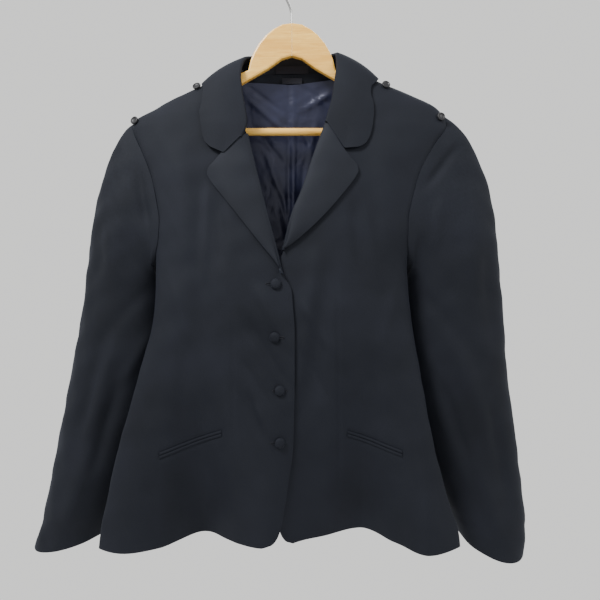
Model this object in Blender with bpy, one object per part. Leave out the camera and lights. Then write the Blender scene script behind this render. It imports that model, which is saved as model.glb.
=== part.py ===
"""A women's single-breasted uniform jacket, hung on a flat wooden hanger.

Metres, +Z up. The origin is the inside top of the hanger's hook. The front faces -Y, and the
wearer's right side is at -X. Every cloth piece is a thin closed wall. The body's surface is a
stack of level rings: a point on it has a place around its ring and a height z.
Around is 0 at centre front, 1 at the side or on the shoulder line, and 2 at centre back, and
it is negative on the wearer's right.
"""

import math
from collections import namedtuple

import bmesh
import bpy
import numpy as np
from mathutils import Vector
from mathutils.bvhtree import BVHTree

# Cloth walls, and the gaps at seams and under what lies on a panel.
WALL = 0.0016
THIN_WALL = 0.0012
LINING_WALL = 0.0010
SEAM_GAP = 0.0003
LAP_GAP = 0.0005
SEARCH = 0.02

# Where the left front goes under the right one: how deep, from which x, and from which height.
LAP_DEPTH = 0.0045
LAP_X = 0.012
LAP_FADE_X = 0.045
LAP_TOP_Z = -0.36
LAP_FADE_Z = 0.06

# How square the body's rings are, how the places spread round them, and the panels' rows.
RING_POWER = 2.6
RING_SPREAD = 1.3
SIDE_SEAM_AROUND = 1.12
SIDE_SEAM_X = 0.24
UNDERARM_Z = -0.445
HEM_Z = -0.836
ARMHOLE_STEPS = (0, 0.25, 1, 2, 3, 4, 5, 6, 7, 8, 9, 10)
ARMHOLE_ROWS = len(ARMHOLE_STEPS) - 1
ARMHOLE_SOFTNESS = 0.6
SKIRT_ROWS = 10
CORNER_SPREAD = 0.75
FRONT_COLUMNS = 17
BACK_COLUMNS = 11
SHOULDER_COLUMNS = 6
SLEEVE_RINGS = 16
SLEEVE_SPREAD = 0.8

# Body rings from the neck to the hem. reach_right and reach_left are the half widths on the
# wearer's right and left, front and back the depths before and behind the hanger's plane,
# widest_y where the ring is widest, and slant how far its sides draw in towards the back.
Ring = namedtuple("Ring", "z reach_right reach_left front back widest_y slant")
BODY_RINGS = [
    Ring(-0.900, 0.275, 0.241, 0.052, 0.046, -0.046, 0.058),
    Ring(-0.836, 0.271, 0.238, 0.054, 0.045, -0.046, 0.056),
    Ring(-0.776, 0.261, 0.221, 0.060, 0.044, -0.045, 0.052),
    Ring(-0.702, 0.245, 0.202, 0.066, 0.043, -0.044, 0.047),
    Ring(-0.602, 0.219, 0.185, 0.071, 0.042, -0.042, 0.040),
    Ring(-0.508, 0.198, 0.171, 0.072, 0.042, -0.038, 0.034),
    Ring(-0.445, 0.196, 0.167, 0.068, 0.042, -0.033, 0.028),
    Ring(-0.390, 0.207, 0.181, 0.062, 0.042, -0.026, 0.020),
    Ring(-0.341, 0.220, 0.196, 0.056, 0.041, -0.018, 0.012),
    Ring(-0.297, 0.231, 0.211, 0.050, 0.038, -0.011, 0.006),
    Ring(-0.265, 0.237, 0.224, 0.044, 0.035, -0.006, 0.003),
    Ring(-0.238, 0.2385, 0.233, 0.038, 0.032, -0.002, 0.001),
    Ring(-0.2265, 0.234, 0.2315, 0.035, 0.031, 0.000, 0.000),
    Ring(-0.2085, 0.204, 0.2175, 0.031, 0.029, 0.000, 0.000),
    Ring(-0.1905, 0.171, 0.183, 0.027, 0.0275, 0.000, 0.000),
    Ring(-0.173, 0.1325, 0.1435, 0.022, 0.026, 0.000, 0.000),
    Ring(-0.153, 0.086, 0.098, 0.017, 0.0245, 0.000, 0.000),
    Ring(-0.140, 0.057, 0.068, 0.014, 0.0235, 0.000, 0.000),
]

# The armhole from the shoulder point (share 0) to the underarm (share 1), as places around.
ArmholeRow = namedtuple("ArmholeRow", "share front back")
ARMHOLE = [
    ArmholeRow(0.00, 1.000, 1.000),
    ArmholeRow(0.10, 0.880, 1.120),
    ArmholeRow(0.25, 0.775, 1.225),
    ArmholeRow(0.45, 0.730, 1.275),
    ArmholeRow(0.65, 0.740, 1.285),
    ArmholeRow(0.82, 0.810, 1.260),
    ArmholeRow(0.94, 0.960, 1.190),
    ArmholeRow(1.00, SIDE_SEAM_AROUND, SIDE_SEAM_AROUND),
]

# Where the shoulder seam starts at the neck, and where it ends at the sleeve.
SHOULDER_POINT_Z = {-1: -0.2265, 1: -0.216}
NECK_POINT_Z = {-1: -0.1475, 1: -0.140}
BACK_NECK_Z = -0.149
BREAK_Z = {-1: -0.4583, 1: -0.4583}

# The front edges from neck point to hem, as x over z: the collar and lapel roll down to the
# break, then the buttoned edge, then the rounded corner. The right front laps over the left.
EdgeRow = namedtuple("EdgeRow", "z x")
RIGHT_FRONT_EDGE = [
    EdgeRow(-0.843, -0.0420),
    EdgeRow(-0.838, -0.0265),
    EdgeRow(-0.826, -0.0180),
    EdgeRow(-0.806, -0.0125),
    EdgeRow(-0.774, -0.0070),
    EdgeRow(-0.746, -0.0030),
    EdgeRow(-0.700, 0.0026),
    EdgeRow(-0.606, 0.0045),
    EdgeRow(-0.540, 0.0045),
    EdgeRow(-0.500, 0.0018),
    EdgeRow(-0.4795, 0.0000),
    EdgeRow(-0.4583, -0.0110),
    EdgeRow(-0.4270, -0.0185),
    EdgeRow(-0.3520, -0.0381),
    EdgeRow(-0.2850, -0.0550),
    EdgeRow(-0.2361, -0.0665),
    EdgeRow(-0.1870, -0.0745),
    EdgeRow(-0.1475, -0.0740),
]
LEFT_FRONT_EDGE = [
    EdgeRow(-0.843, 0.0040),
    EdgeRow(-0.838, -0.0060),
    EdgeRow(-0.826, -0.0130),
    EdgeRow(-0.806, -0.0190),
    EdgeRow(-0.774, -0.0260),
    EdgeRow(-0.700, -0.0340),
    EdgeRow(-0.600, -0.0360),
    EdgeRow(-0.500, -0.0350),
    EdgeRow(-0.4583, -0.0270),
    EdgeRow(-0.4255, -0.0149),
    EdgeRow(-0.3720, -0.0010),
    EdgeRow(-0.3369, 0.0134),
    EdgeRow(-0.2870, 0.0300),
    EdgeRow(-0.2361, 0.0480),
    EdgeRow(-0.1870, 0.0620),
    EdgeRow(-0.140, 0.0680),
]
FRONT_EDGES = {-1: RIGHT_FRONT_EDGE, 1: LEFT_FRONT_EDGE}

# The hem hangs in flutes. forward is how far a flute stands before the mean surface there, and
# drop how far the hem dips with it. They die away upwards to FLUTE_TOP_Z.
FLUTE_TOP_Z = -0.50
Flute = namedtuple("Flute", "x forward drop")
FRONT_FLUTES = [
    Flute(-0.290, 0.010, 0.006),
    Flute(-0.235, 0.027, 0.010),
    Flute(-0.185, 0.014, 0.006),
    Flute(-0.125, -0.031, -0.006),
    Flute(-0.075, 0.000, 0.003),
    Flute(-0.037, 0.014, 0.006),
    Flute(0.006, -0.004, 0.000),
    Flute(0.050, -0.020, -0.005),
    Flute(0.100, -0.038, -0.009),
    Flute(0.145, -0.004, 0.003),
    Flute(0.190, 0.031, 0.011),
    Flute(0.250, 0.012, 0.004),
]
BACK_FLUTES = [
    Flute(-0.260, 0.000, 0.000),
    Flute(-0.190, -0.010, -0.003),
    Flute(-0.110, 0.014, 0.004),
    Flute(-0.035, -0.010, -0.002),
    Flute(0.045, 0.013, 0.004),
    Flute(0.115, -0.012, -0.003),
    Flute(0.180, 0.008, 0.003),
    Flute(0.240, 0.000, 0.000),
]

# Long soft folds on the fronts, from the upper to the lower end. height is forward, and a
# trough has a negative one.
Fold = namedtuple("Fold", "top_x top_z low_x low_z width height")
FRONT_FOLDS = [
    Fold(-0.122, -0.320, -0.128, -0.560, 0.020, -0.0050),
    Fold(0.036, -0.430, 0.012, -0.620, 0.016, 0.0045),
    Fold(0.050, -0.440, 0.026, -0.640, 0.016, -0.0050),
    Fold(-0.045, -0.478, -0.004, -0.560, 0.012, 0.0040),
    Fold(-0.062, -0.520, -0.008, -0.620, 0.012, -0.0040),
    Fold(-0.070, -0.620, -0.045, -0.740, 0.016, -0.0040),
    Fold(0.110, -0.330, 0.118, -0.520, 0.024, -0.0050),
    Fold(-0.165, -0.270, -0.150, -0.420, 0.022, 0.0045),
    Fold(0.135, -0.260, 0.140, -0.420, 0.022, 0.0045),
]
BACK_FOLDS = [
    Fold(-0.130, -0.300, -0.120, -0.560, 0.024, -0.0060),
    Fold(0.120, -0.290, 0.112, -0.540, 0.024, -0.0060),
    Fold(-0.060, -0.420, -0.075, -0.680, 0.022, 0.0045),
    Fold(0.055, -0.400, 0.070, -0.640, 0.022, 0.0045),
]

# The collar, in sections from the gorge end on the wearer's right round the neck to the left.
# fold is the top of the roll; edge is the outer edge, as a place around and a height; base is
# where the stand meets the body; end_dip is how far the edge of that section sags in its middle.
CollarRow = namedtuple(
    "CollarRow", "fold_x fold_y fold_z edge_around edge_z base_around base_z end_dip"
)
COLLAR_WALL = 0.0014
COLLAR_ROLL = 0.0024
COLLAR_BULGE = 0.0045
COLLAR_SECTIONS = 33
COLLAR_NOTCH = 0.43
COLLAR_FALL = (0.15, 0.30, COLLAR_NOTCH, 0.58, 0.73, 0.88, 1.0)
COLLAR = [
    CollarRow(-0.0715, -0.0465, -0.2593, 0.389, -0.2668, 0.233, -0.2660, 0.017),
    CollarRow(-0.0645, -0.0410, -0.2361, 0.403, -0.2350, 0.216, -0.2380, 0.000),
    CollarRow(-0.0725, -0.0285, -0.1870, 0.494, -0.2050, 0.355, -0.1890, 0.000),
    CollarRow(-0.0755, -0.0190, -0.1600, 0.663, -0.1830, 0.580, -0.1630, 0.000),
    CollarRow(-0.0705, 0.0020, -0.1305, 1.000, -0.1725, 1.000, -0.1535, 0.000),
    CollarRow(-0.0550, 0.0190, -0.1220, 1.300, -0.1770, 1.300, -0.1555, 0.000),
    CollarRow(-0.0280, 0.0275, -0.1190, 1.650, -0.1840, 1.650, -0.1560, 0.000),
    CollarRow(0.0000, 0.0295, -0.1180, 2.000, -0.1880, 2.000, -0.1560, 0.000),
    CollarRow(0.0270, 0.0275, -0.1185, 1.650, -0.1830, 1.650, -0.1560, 0.000),
    CollarRow(0.0520, 0.0190, -0.1200, 1.300, -0.1730, 1.300, -0.1530, 0.000),
    CollarRow(0.0660, 0.0020, -0.1230, 1.000, -0.1655, 1.000, -0.1470, 0.000),
    CollarRow(0.0660, -0.0155, -0.1470, 0.554, -0.1800, 0.596, -0.1530, 0.000),
    CollarRow(0.0630, -0.0240, -0.1700, 0.404, -0.2050, 0.376, -0.1720, 0.000),
    CollarRow(0.0585, -0.0320, -0.2000, 0.364, -0.2361, 0.227, -0.2030, 0.000),
    CollarRow(0.0486, -0.0410, -0.2361, 0.355, -0.2595, 0.166, -0.2400, 0.029),
]

# The lapels: outer edges from the notch round the tip down to the break, x and z as seen.
LapelRow = namedtuple("LapelRow", "x z")
LAPEL_WALL = 0.0014
LAPEL_ROWS = 15
LAPEL_COLUMNS = 7
LAPEL_LIFT = 0.0076
LAPEL_ROLL = 0.6
RIGHT_LAPEL = [
    LapelRow(-0.0985, -0.2810),
    LapelRow(-0.1110, -0.2960),
    LapelRow(-0.1190, -0.3055),
    LapelRow(-0.1205, -0.3130),
    LapelRow(-0.1160, -0.3220),
    LapelRow(-0.0960, -0.3480),
    LapelRow(-0.0740, -0.3760),
    LapelRow(-0.0480, -0.4090),
    LapelRow(-0.0230, -0.4400),
    LapelRow(-0.0120, -0.4570),
]
LEFT_LAPEL = [
    LapelRow(0.0731, -0.2750),
    LapelRow(0.0840, -0.2900),
    LapelRow(0.0930, -0.3010),
    LapelRow(0.0950, -0.3090),
    LapelRow(0.0910, -0.3180),
    LapelRow(0.0730, -0.3420),
    LapelRow(0.0520, -0.3670),
    LapelRow(0.0270, -0.3920),
    LapelRow(0.0020, -0.4130),
    LapelRow(-0.0120, -0.4225),
]
LAPELS = {-1: RIGHT_LAPEL, 1: LEFT_LAPEL}
GORGE_TOP_Z = {-1: -0.2600, 1: -0.2370}
LAPEL_END_Z = {-1: -0.4560, 1: -0.4220}

# The sleeves, from the crown to the cuff, as distances outwards from x = 0. share is how much
# of the armhole's own shape a ring still has.
SleeveRow = namedtuple(
    "SleeveRow", "outer_x outer_z inner_x inner_z centre_y half_depth share"
)
RIGHT_SLEEVE = [
    SleeveRow(0.2518, -0.2433, 0.1915, -0.4510, -0.006, 0.034, 0.80),
    SleeveRow(0.2698, -0.2784, 0.1930, -0.4570, 0.000, 0.040, 0.50),
    SleeveRow(0.2900, -0.3350, 0.1935, -0.4670, 0.007, 0.045, 0.22),
    SleeveRow(0.3044, -0.4049, 0.1905, -0.4870, 0.013, 0.049, 0.05),
    SleeveRow(0.3166, -0.4966, 0.1840, -0.5350, 0.018, 0.050, 0.00),
    SleeveRow(0.3365, -0.6066, 0.2030, -0.6250, 0.020, 0.047, 0.00),
    SleeveRow(0.3579, -0.7167, 0.2340, -0.7150, 0.021, 0.044, 0.00),
    SleeveRow(0.3793, -0.8267, 0.2660, -0.8000, 0.018, 0.040, 0.00),
    SleeveRow(0.3905, -0.8660, 0.2770, -0.8360, 0.016, 0.038, 0.00),
]
LEFT_SLEEVE = [
    SleeveRow(0.2500, -0.2360, 0.1635, -0.4510, -0.006, 0.034, 0.80),
    SleeveRow(0.2720, -0.2700, 0.1650, -0.4570, 0.000, 0.040, 0.50),
    SleeveRow(0.2967, -0.3321, 0.1655, -0.4670, 0.007, 0.046, 0.22),
    SleeveRow(0.3101, -0.4049, 0.1640, -0.4870, 0.013, 0.051, 0.05),
    SleeveRow(0.3190, -0.4966, 0.1590, -0.5350, 0.018, 0.053, 0.00),
    SleeveRow(0.3280, -0.6066, 0.1740, -0.6250, 0.020, 0.050, 0.00),
    SleeveRow(0.3422, -0.7167, 0.1960, -0.7150, 0.021, 0.047, 0.00),
    SleeveRow(0.3544, -0.8267, 0.2320, -0.8000, 0.018, 0.042, 0.00),
    SleeveRow(0.3500, -0.8720, 0.2480, -0.8340, 0.016, 0.040, 0.00),
]
SLEEVES = {-1: RIGHT_SLEEVE, 1: LEFT_SLEEVE}
CUFF_FRONT_DROP = {-1: 0.008, 1: 0.018}
CUFF_DROP_RINGS = 4

# Buttons, pockets and labels.
BUTTON_SIDES = 12
BUTTON_RADIUS = 0.0075
BUTTON_HEIGHT = 0.0048
Place = namedtuple("Place", "x z")
FRONT_BUTTONS = [
    Place(-0.0218, -0.4709),
    Place(-0.0233, -0.5457),
    Place(-0.0162, -0.6204),
    Place(-0.0162, -0.6937),
]
SHOULDER_BUTTON_RADIUS = 0.0062
SHOULDER_BUTTON_HEIGHT = 0.0042
SHANK = 0.0008
ShoulderPlace = namedtuple("ShoulderPlace", "around z")
SHOULDER_BUTTONS = [
    ShoulderPlace(-0.855, -0.1785),
    ShoulderPlace(-0.893, -0.2290),
    ShoulderPlace(0.760, -0.1765),
    ShoulderPlace(0.820, -0.2235),
]
WELT_HEIGHT = 0.0042
WELT_SLOT = 0.0008
WELT_COLUMNS = 11
Pocket = namedtuple("Pocket", "inner_x inner_z outer_x outer_z")
POCKETS = {
    -1: Pocket(-0.0994, -0.6824, -0.1854, -0.7120),
    1: Pocket(0.0797, -0.6839, 0.1560, -0.7105),
}
LABEL_SIZE = (0.050, 0.0120)
LABEL_Y = 0.0237
LABEL_Z = -0.1412
TAB_SIZE = (0.030, 0.0090)
TAB_Z = -0.1590
TAB_LIFT = 0.0016
LABEL_WALL = 0.0006

# The lining inside the back. Its top, shoulder and low values are shares of a back panel's row,
# and it leaves out the rows and columns next to the armhole.
LINING_GAP = 0.0013
LINING_TOP = 0.08
LINING_SHOULDER = 1.2
LINING_FIRST = 2
LINING_SKIP = 1
LINING_LOW = 0.40

# The wooden hanger with its steel hook.
BOARD_THICKNESS = 0.0120
BOARD_ROUND = 0.0028
ARM_CLEARANCE = 0.0031
OutlinePoint = namedtuple("OutlinePoint", "x z")
BOARD_TOP = [
    OutlinePoint(0.0000, -0.0795),
    OutlinePoint(0.0150, -0.0815),
    OutlinePoint(0.0280, -0.0885),
    OutlinePoint(0.0390, -0.0975),
    OutlinePoint(0.0495, -0.1100),
    OutlinePoint(0.0570, -0.1230),
    OutlinePoint(0.0620, -0.1350),
    OutlinePoint(0.0655, -0.1500),
]
BOARD_LOW = [
    OutlinePoint(0.1900, -0.2270),
    OutlinePoint(0.1300, -0.1990),
    OutlinePoint(0.0730, -0.1700),
    OutlinePoint(0.0350, -0.1480),
    OutlinePoint(0.0150, -0.1335),
    OutlinePoint(0.0000, -0.1290),
]
ARM_STATIONS = (0.085, 0.110, 0.140, 0.170, 0.195, 0.212)
ARM_TIP_X = 0.215
ARM_TAIL_Z = -0.2500
ARM_SEARCH = 0.0005
TAIL_X = 0.1900
TIP_CORNER = 0.006
TAIL_CORNER = 0.004
BAR_Z = -0.2415
BAR_RADIUS = 0.0058
BAR_SIDES = 20
WIRE_RADIUS = 0.0018
WIRE_POINTS = 34
HOOK_INNER_RADIUS = 0.0180
HOOK_START_DEG = 222.0
HOOK_END_DEG = -25.0
HOOK_STEPS = 22
STEM_X = -0.0009
STEM_TOP_Z = -0.066


def ease(share):
    """0 to 1 with soft ends."""
    share = min(max(share, 0.0), 1.0)
    return share * share * (3.0 - 2.0 * share)


class Curve:
    """One column of a table over another, as a smooth curve that doesn't overshoot."""

    def __init__(self, keys, values):
        order = np.argsort(keys)
        self.keys = np.array(keys, float)[order]
        self.values = np.array(values, float)[order]
        steps = np.diff(self.keys)
        rises = np.diff(self.values) / steps
        slopes = np.zeros(len(self.keys))
        for i in range(1, len(slopes) - 1):
            if rises[i - 1] * rises[i] > 0:
                slopes[i] = 2.0 / (1.0 / rises[i - 1] + 1.0 / rises[i])
        slopes[0] = rises[0]
        slopes[-1] = rises[-1]
        self.slopes = slopes

    def at(self, key):
        key = min(max(key, self.keys[0]), self.keys[-1])
        i = int(np.searchsorted(self.keys, key, side="right")) - 1
        i = min(max(i, 0), len(self.keys) - 2)
        step = self.keys[i + 1] - self.keys[i]
        t = (key - self.keys[i]) / step
        before = (1 + 2 * t) * (1 - t) ** 2 * self.values[i]
        after = t * t * (3 - 2 * t) * self.values[i + 1]
        bend = t * (1 - t) ** 2 * self.slopes[i] - t * t * (1 - t) * self.slopes[i + 1]
        return before + after + step * bend


def curves_of(table, key=None):
    """A curve for each column of a table, over its first column or over the row numbers."""
    names = table[0]._fields
    keys = [getattr(row, key) for row in table] if key else list(range(len(table)))
    return {name: Curve(keys, [getattr(row, name) for row in table]) for name in names if name != key}


BODY = curves_of(BODY_RINGS, "z")
HOLE = curves_of(ARMHOLE, "share")
FRONT_WAVE = curves_of(FRONT_FLUTES, "x")
BACK_WAVE = curves_of(BACK_FLUTES, "x")
EDGES = {side: curves_of(FRONT_EDGES[side], "z")["x"] for side in (-1, 1)}


def reach(sign, z):
    return BODY["reach_right" if sign < 0 else "reach_left"].at(z)


def flute_share(z):
    """How much of a flute's depth shows at a height."""
    share = (FLUTE_TOP_Z - z) / (FLUTE_TOP_Z - HEM_Z)
    return min(max(share, 0.0), 1.1) ** 1.4


def fold_height(folds, x, z):
    """How far the folds lift the surface at a place seen from the front."""
    height = 0.0
    for fold in folds:
        along = (fold.top_z - z) / (fold.top_z - fold.low_z)
        if not -0.2 < along < 1.2:
            continue
        middle = fold.top_x + (fold.low_x - fold.top_x) * along
        across = (x - middle) / fold.width
        ends = ease((along + 0.2) / 0.45) * ease((1.2 - along) / 0.45)
        height += fold.height * ends * math.exp(-across * across)
    return height


def body_point(around, z):
    """A point of the body's outer surface."""
    sign = -1 if around < 0 else 1
    place = abs(around)
    side_y = BODY["widest_y"].at(z)
    half = reach(sign, z)
    if place <= 1:
        turn = math.pi / 2 * place**RING_SPREAD
        side = math.sin(turn) ** (2 / RING_POWER)
        depth = max(math.cos(turn), 0.0) ** (2 / RING_POWER)
        x = sign * half * side
        y = side_y - (BODY["front"].at(z) + side_y) * depth
    else:
        turn = math.pi / 2 * max(2 - place, 0.0) ** RING_SPREAD
        side = math.sin(turn) ** (2 / RING_POWER)
        depth = max(math.cos(turn), 0.0) ** (2 / RING_POWER)
        x = sign * (half - BODY["slant"].at(z) * depth) * side
        y = side_y + (BODY["back"].at(z) - side_y) * depth
    front_share = 1 - ease((place - 0.95) / 0.35)
    back_share = ease((place - 1.15) / 0.35)
    level = flute_share(z)
    if front_share > 0:
        calm = 1 - ease((place - 0.75) / 0.25)
        y -= front_share * level * FRONT_WAVE["forward"].at(x)
        y -= calm * fold_height(FRONT_FOLDS, x, z)
    if back_share > 0:
        y += back_share * level * BACK_WAVE["forward"].at(x)
        y += back_share * fold_height(BACK_FOLDS, x, z)
    return np.array([x, y, z])


def body_normal(around, z):
    """The direction out of the body's surface."""
    turn_step = 0.02
    fall_step = 0.003
    across = body_point(around + turn_step, z) - body_point(around - turn_step, z)
    upward = body_point(around, z + fall_step) - body_point(around, z - fall_step)
    normal = np.cross(across, upward)
    if around > 2 - turn_step or around < turn_step - 2:
        normal[0] = 0.0
    return normal / np.linalg.norm(normal)


def around_of(x, z):
    """The place around the ring of a front point that is seen at x."""
    sign = -1 if x < 0 else 1
    share = min(abs(x) / reach(sign, z), 1.0)
    return sign * (math.asin(share ** (RING_POWER / 2)) / (math.pi / 2)) ** (1 / RING_SPREAD)


def out_of_body(around, z, out):
    return body_point(around, z) + body_normal(around, z) * out


def hem_drop(around):
    """How far the hem dips below HEM_Z at a place around."""
    x = body_point(around, HEM_Z)[0]
    wave = FRONT_WAVE if abs(around) < 1 + (SIDE_SEAM_AROUND - 1) / 2 else BACK_WAVE
    return wave["drop"].at(x)


def armhole(sign, share, face):
    """Place around and height of a point of the armhole; face is front or back."""
    top = SHOULDER_POINT_Z[sign]
    return np.array([sign * HOLE[face].at(share), top + (UNDERARM_Z - top) * share])


def armhole_shares():
    """The rows from shoulder to underarm, with one close below the shoulder line."""
    return [step / ARMHOLE_STEPS[-1] for step in ARMHOLE_STEPS]


def side_rows(sign, face):
    """The panel's outer boundary from shoulder point to hem, as (around, z) rows."""
    rows = []
    for step in armhole_shares():
        soft = (1 - math.cos(math.pi * step)) / 2
        share = ARMHOLE_SOFTNESS * soft + (1 - ARMHOLE_SOFTNESS) * step
        rows.append(armhole(sign, share, face))
    seam = sign * SIDE_SEAM_AROUND
    drops = [wave["drop"].at(sign * SIDE_SEAM_X) for wave in (FRONT_WAVE, BACK_WAVE)]
    low = HEM_Z - sum(drops) / 2
    for i in range(1, SKIRT_ROWS + 1):
        rows.append(np.array([seam, UNDERARM_Z + (low - UNDERARM_Z) * i / SKIRT_ROWS]))
    return rows


def front_rows(sign):
    """The inner boundary of a front: roll line, buttoned edge and rounded corner."""
    edge = EDGES[sign]
    low_z = edge.keys[0]
    top_z = NECK_POINT_Z[sign]
    heights = [top_z + (BREAK_Z[sign] - top_z) * share for share in armhole_shares()]
    quarter = math.pi / 2 * CORNER_SPREAD
    for i in range(1, SKIRT_ROWS + 1):
        share = math.sin(quarter * i / SKIRT_ROWS) / math.sin(quarter)
        heights.append(BREAK_Z[sign] + (low_z - BREAK_Z[sign]) * share)
    rows = [np.array([around_of(edge.at(z), z), z]) for z in heights]
    rows[0][0] = sign
    return rows


def hem_share(row, u):
    """How much of the hem's dips a row takes, at a share u across the panel."""
    skirt = max(0.0, (row - ARMHOLE_ROWS) / SKIRT_ROWS)
    ends = math.sin(math.pi * u) ** 0.5 if 0 < u < 1 else 0.0
    return skirt**2 * ends


def front_grid(sign):
    """A grid of (around, z) from the armhole and side seam to the front edge."""
    side, inner = side_rows(sign, "front"), front_rows(sign)
    grid = np.zeros((len(side), FRONT_COLUMNS, 2))
    for i in range(len(side)):
        for j in range(FRONT_COLUMNS):
            u = j / (FRONT_COLUMNS - 1)
            grid[i, j] = side[i] * (1 - u) + inner[i] * u
            last = side[-1][1] * (1 - u) + inner[-1][1] * u
            grid[i, j, 1] += hem_share(i, u) * (HEM_Z - hem_drop(grid[i, j, 0]) - last)
    return grid


def back_around_of(x, z):
    """The place around the ring of a back point at x, found by halving."""
    near, far = 1.0, 2.0
    for _ in range(30):
        middle = (near + far) / 2
        if abs(body_point(math.copysign(middle, x), z)[0]) > abs(x):
            near = middle
        else:
            far = middle
    return near


def back_grid(sign):
    """A grid of (around, z) from the armhole and side seam to the centre-back seam.

    Its columns keep the shares across that they have on the shoulder seam and back neck, and
    even out towards the hem.
    """
    side, inner, top = side_rows(sign, "back"), back_rows(sign), back_top(sign)
    top_x = [abs(body_point(*place)[0]) for place in top]
    grid = np.zeros((len(side), BACK_COLUMNS, 2))
    for i in range(len(side)):
        share = armhole_shares()[i] if i <= ARMHOLE_ROWS else 1.0
        side_x = abs(body_point(*side[i])[0])
        for j in range(BACK_COLUMNS):
            start = 1 - top_x[j] / top_x[0]
            u = start + (j / (BACK_COLUMNS - 1) - start) * ease(share)
            z = side[i][1] * (1 - u) + inner[i][1] * u
            straight = side[0][1] * (1 - start) + inner[0][1] * start
            z += (top[j][1] - straight) * (1 - ease(share))
            last = side[-1][1] * (1 - u) + inner[-1][1] * u
            if i == 0:
                around = top[j][0]
            elif j == 0:
                around = side[i][0]
            elif j == BACK_COLUMNS - 1:
                around = inner[i][0]
            else:
                around = sign * back_around_of(sign * side_x * (1 - u), z)
            z += hem_share(i, u) * (HEM_Z - hem_drop(around) - last)
            grid[i, j] = around, z
    return grid


def under_lap(x, z):
    """How far the left front lies inside the right one that laps over it."""
    return LAP_DEPTH * (1 - ease((x - LAP_X) / LAP_FADE_X)) * ease((LAP_TOP_Z - z) / LAP_FADE_Z)


def sheet_of(grid, wall, out=0.0, tuck=False):
    """Outer and inner points of a cloth wall over a grid of (around, z)."""
    rows, columns, _ = grid.shape
    outer = np.zeros((rows, columns, 3))
    inner = np.zeros((rows, columns, 3))
    for i in range(rows):
        for j in range(columns):
            around, z = grid[i, j]
            point = body_point(around, z)
            normal = body_normal(around, z)
            shift = out - (under_lap(point[0], z) if tuck else 0.0)
            outer[i, j] = point + normal * shift
            inner[i, j] = point + normal * (shift - wall)
    return outer, inner


def pull_in(outer, inner, gap):
    """Moves the four edges of a wall inwards, so that neighbours stay a seam gap apart."""
    for edge, beside in ((0, 1), (-1, -2)):
        for line, other in (((edge,), (beside,)), ((slice(None), edge), (slice(None), beside))):
            step = outer[other] - outer[line]
            step = step / np.linalg.norm(step, axis=-1, keepdims=True) * gap / 2
            outer[line] += step
            inner[line] += step


def material_of(name, colour, roughness, metallic=0.0):
    material = bpy.data.materials.new(name)
    material.use_nodes = True
    shader = material.node_tree.nodes["Principled BSDF"]
    shader.inputs["Base Color"].default_value = (*colour, 1.0)
    shader.inputs["Roughness"].default_value = roughness
    shader.inputs["Metallic"].default_value = metallic
    material.diffuse_color = (*colour, 1.0)
    return material


def add_object(name, mesh_builder, material, smooth=True):
    """Turns a bmesh into a named object with its faces pointing out."""
    mesh_builder.normal_update()
    bmesh.ops.recalc_face_normals(mesh_builder, faces=mesh_builder.faces[:])
    mesh = bpy.data.meshes.new(name)
    mesh_builder.to_mesh(mesh)
    mesh_builder.free()
    if smooth:
        mesh.shade_smooth()
        mesh.set_sharp_from_angle(angle=math.radians(40))
    mesh.materials.append(material)
    piece = bpy.data.objects.new(name, mesh)
    bpy.context.scene.collection.objects.link(piece)
    return piece


def cloth_piece(name, outer, inner, material, tube=False):
    """A closed wall between two grids of points. A tube's last column repeats its first."""
    rows, columns, _ = outer.shape
    if not tube and outer[0, 0, 0] > outer[0, -1, 0]:
        outer, inner = outer[:, ::-1], inner[:, ::-1]
    wall = bmesh.new()
    bmesh.ops.create_grid(wall, x_segments=columns - 1, y_segments=rows - 1, size=0.5)
    place = wall.verts.layers.int.new("place")
    for vert in wall.verts:
        column = round((vert.co.x + 0.5) * (columns - 1))
        row = round((vert.co.y + 0.5) * (rows - 1))
        vert[place] = row * columns + column
        vert.co = outer[row, column]
    if tube:
        bmesh.ops.remove_doubles(wall, verts=wall.verts[:], dist=1e-7)
    extruded = bmesh.ops.extrude_face_region(wall, geom=wall.faces[:])
    flat = inner.reshape(-1, 3)
    for part in extruded["geom"]:
        if isinstance(part, bmesh.types.BMVert):
            part.co = flat[part[place]]
    bmesh.ops.triangulate(wall, faces=wall.faces[:], quad_method="FIXED")
    return add_object(name, wall, material)


def tree_of(piece):
    """The piece's faces, to find where something else meets them."""
    mesh = piece.data
    return BVHTree.FromPolygons([v.co for v in mesh.vertices], [p.vertices for p in mesh.polygons])


def on_panel(tree, around, z, x=None):
    """Where a line along the body's normal meets a piece's outer face, and the normal."""
    if x is not None:
        around = around_of(x, z)
    point = body_point(around, z)
    normal = body_normal(around, z)
    start = Vector(point + normal * SEARCH)
    hit = tree.ray_cast(start, Vector(-normal), 2 * SEARCH)[0]
    return (point if hit is None else np.array(hit)), normal


def grid_normals(points):
    """Unit normals of a grid of points, from its neighbours."""
    along = np.gradient(points, axis=0)
    across = np.gradient(points, axis=1)
    normals = np.cross(across, along)
    return normals / np.linalg.norm(normals, axis=-1, keepdims=True)


def fronts(wool):
    """The two fronts. Each ends at its roll line, and the lapel turns back from there."""
    trees = {}
    for sign, name in ((-1, "front_right"), (1, "front_left")):
        outer, inner = sheet_of(front_grid(sign), WALL, tuck=sign > 0)
        pull_in(outer, inner, SEAM_GAP)
        trees[sign] = tree_of(cloth_piece(name, outer, inner, wool))
    return trees


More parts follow.
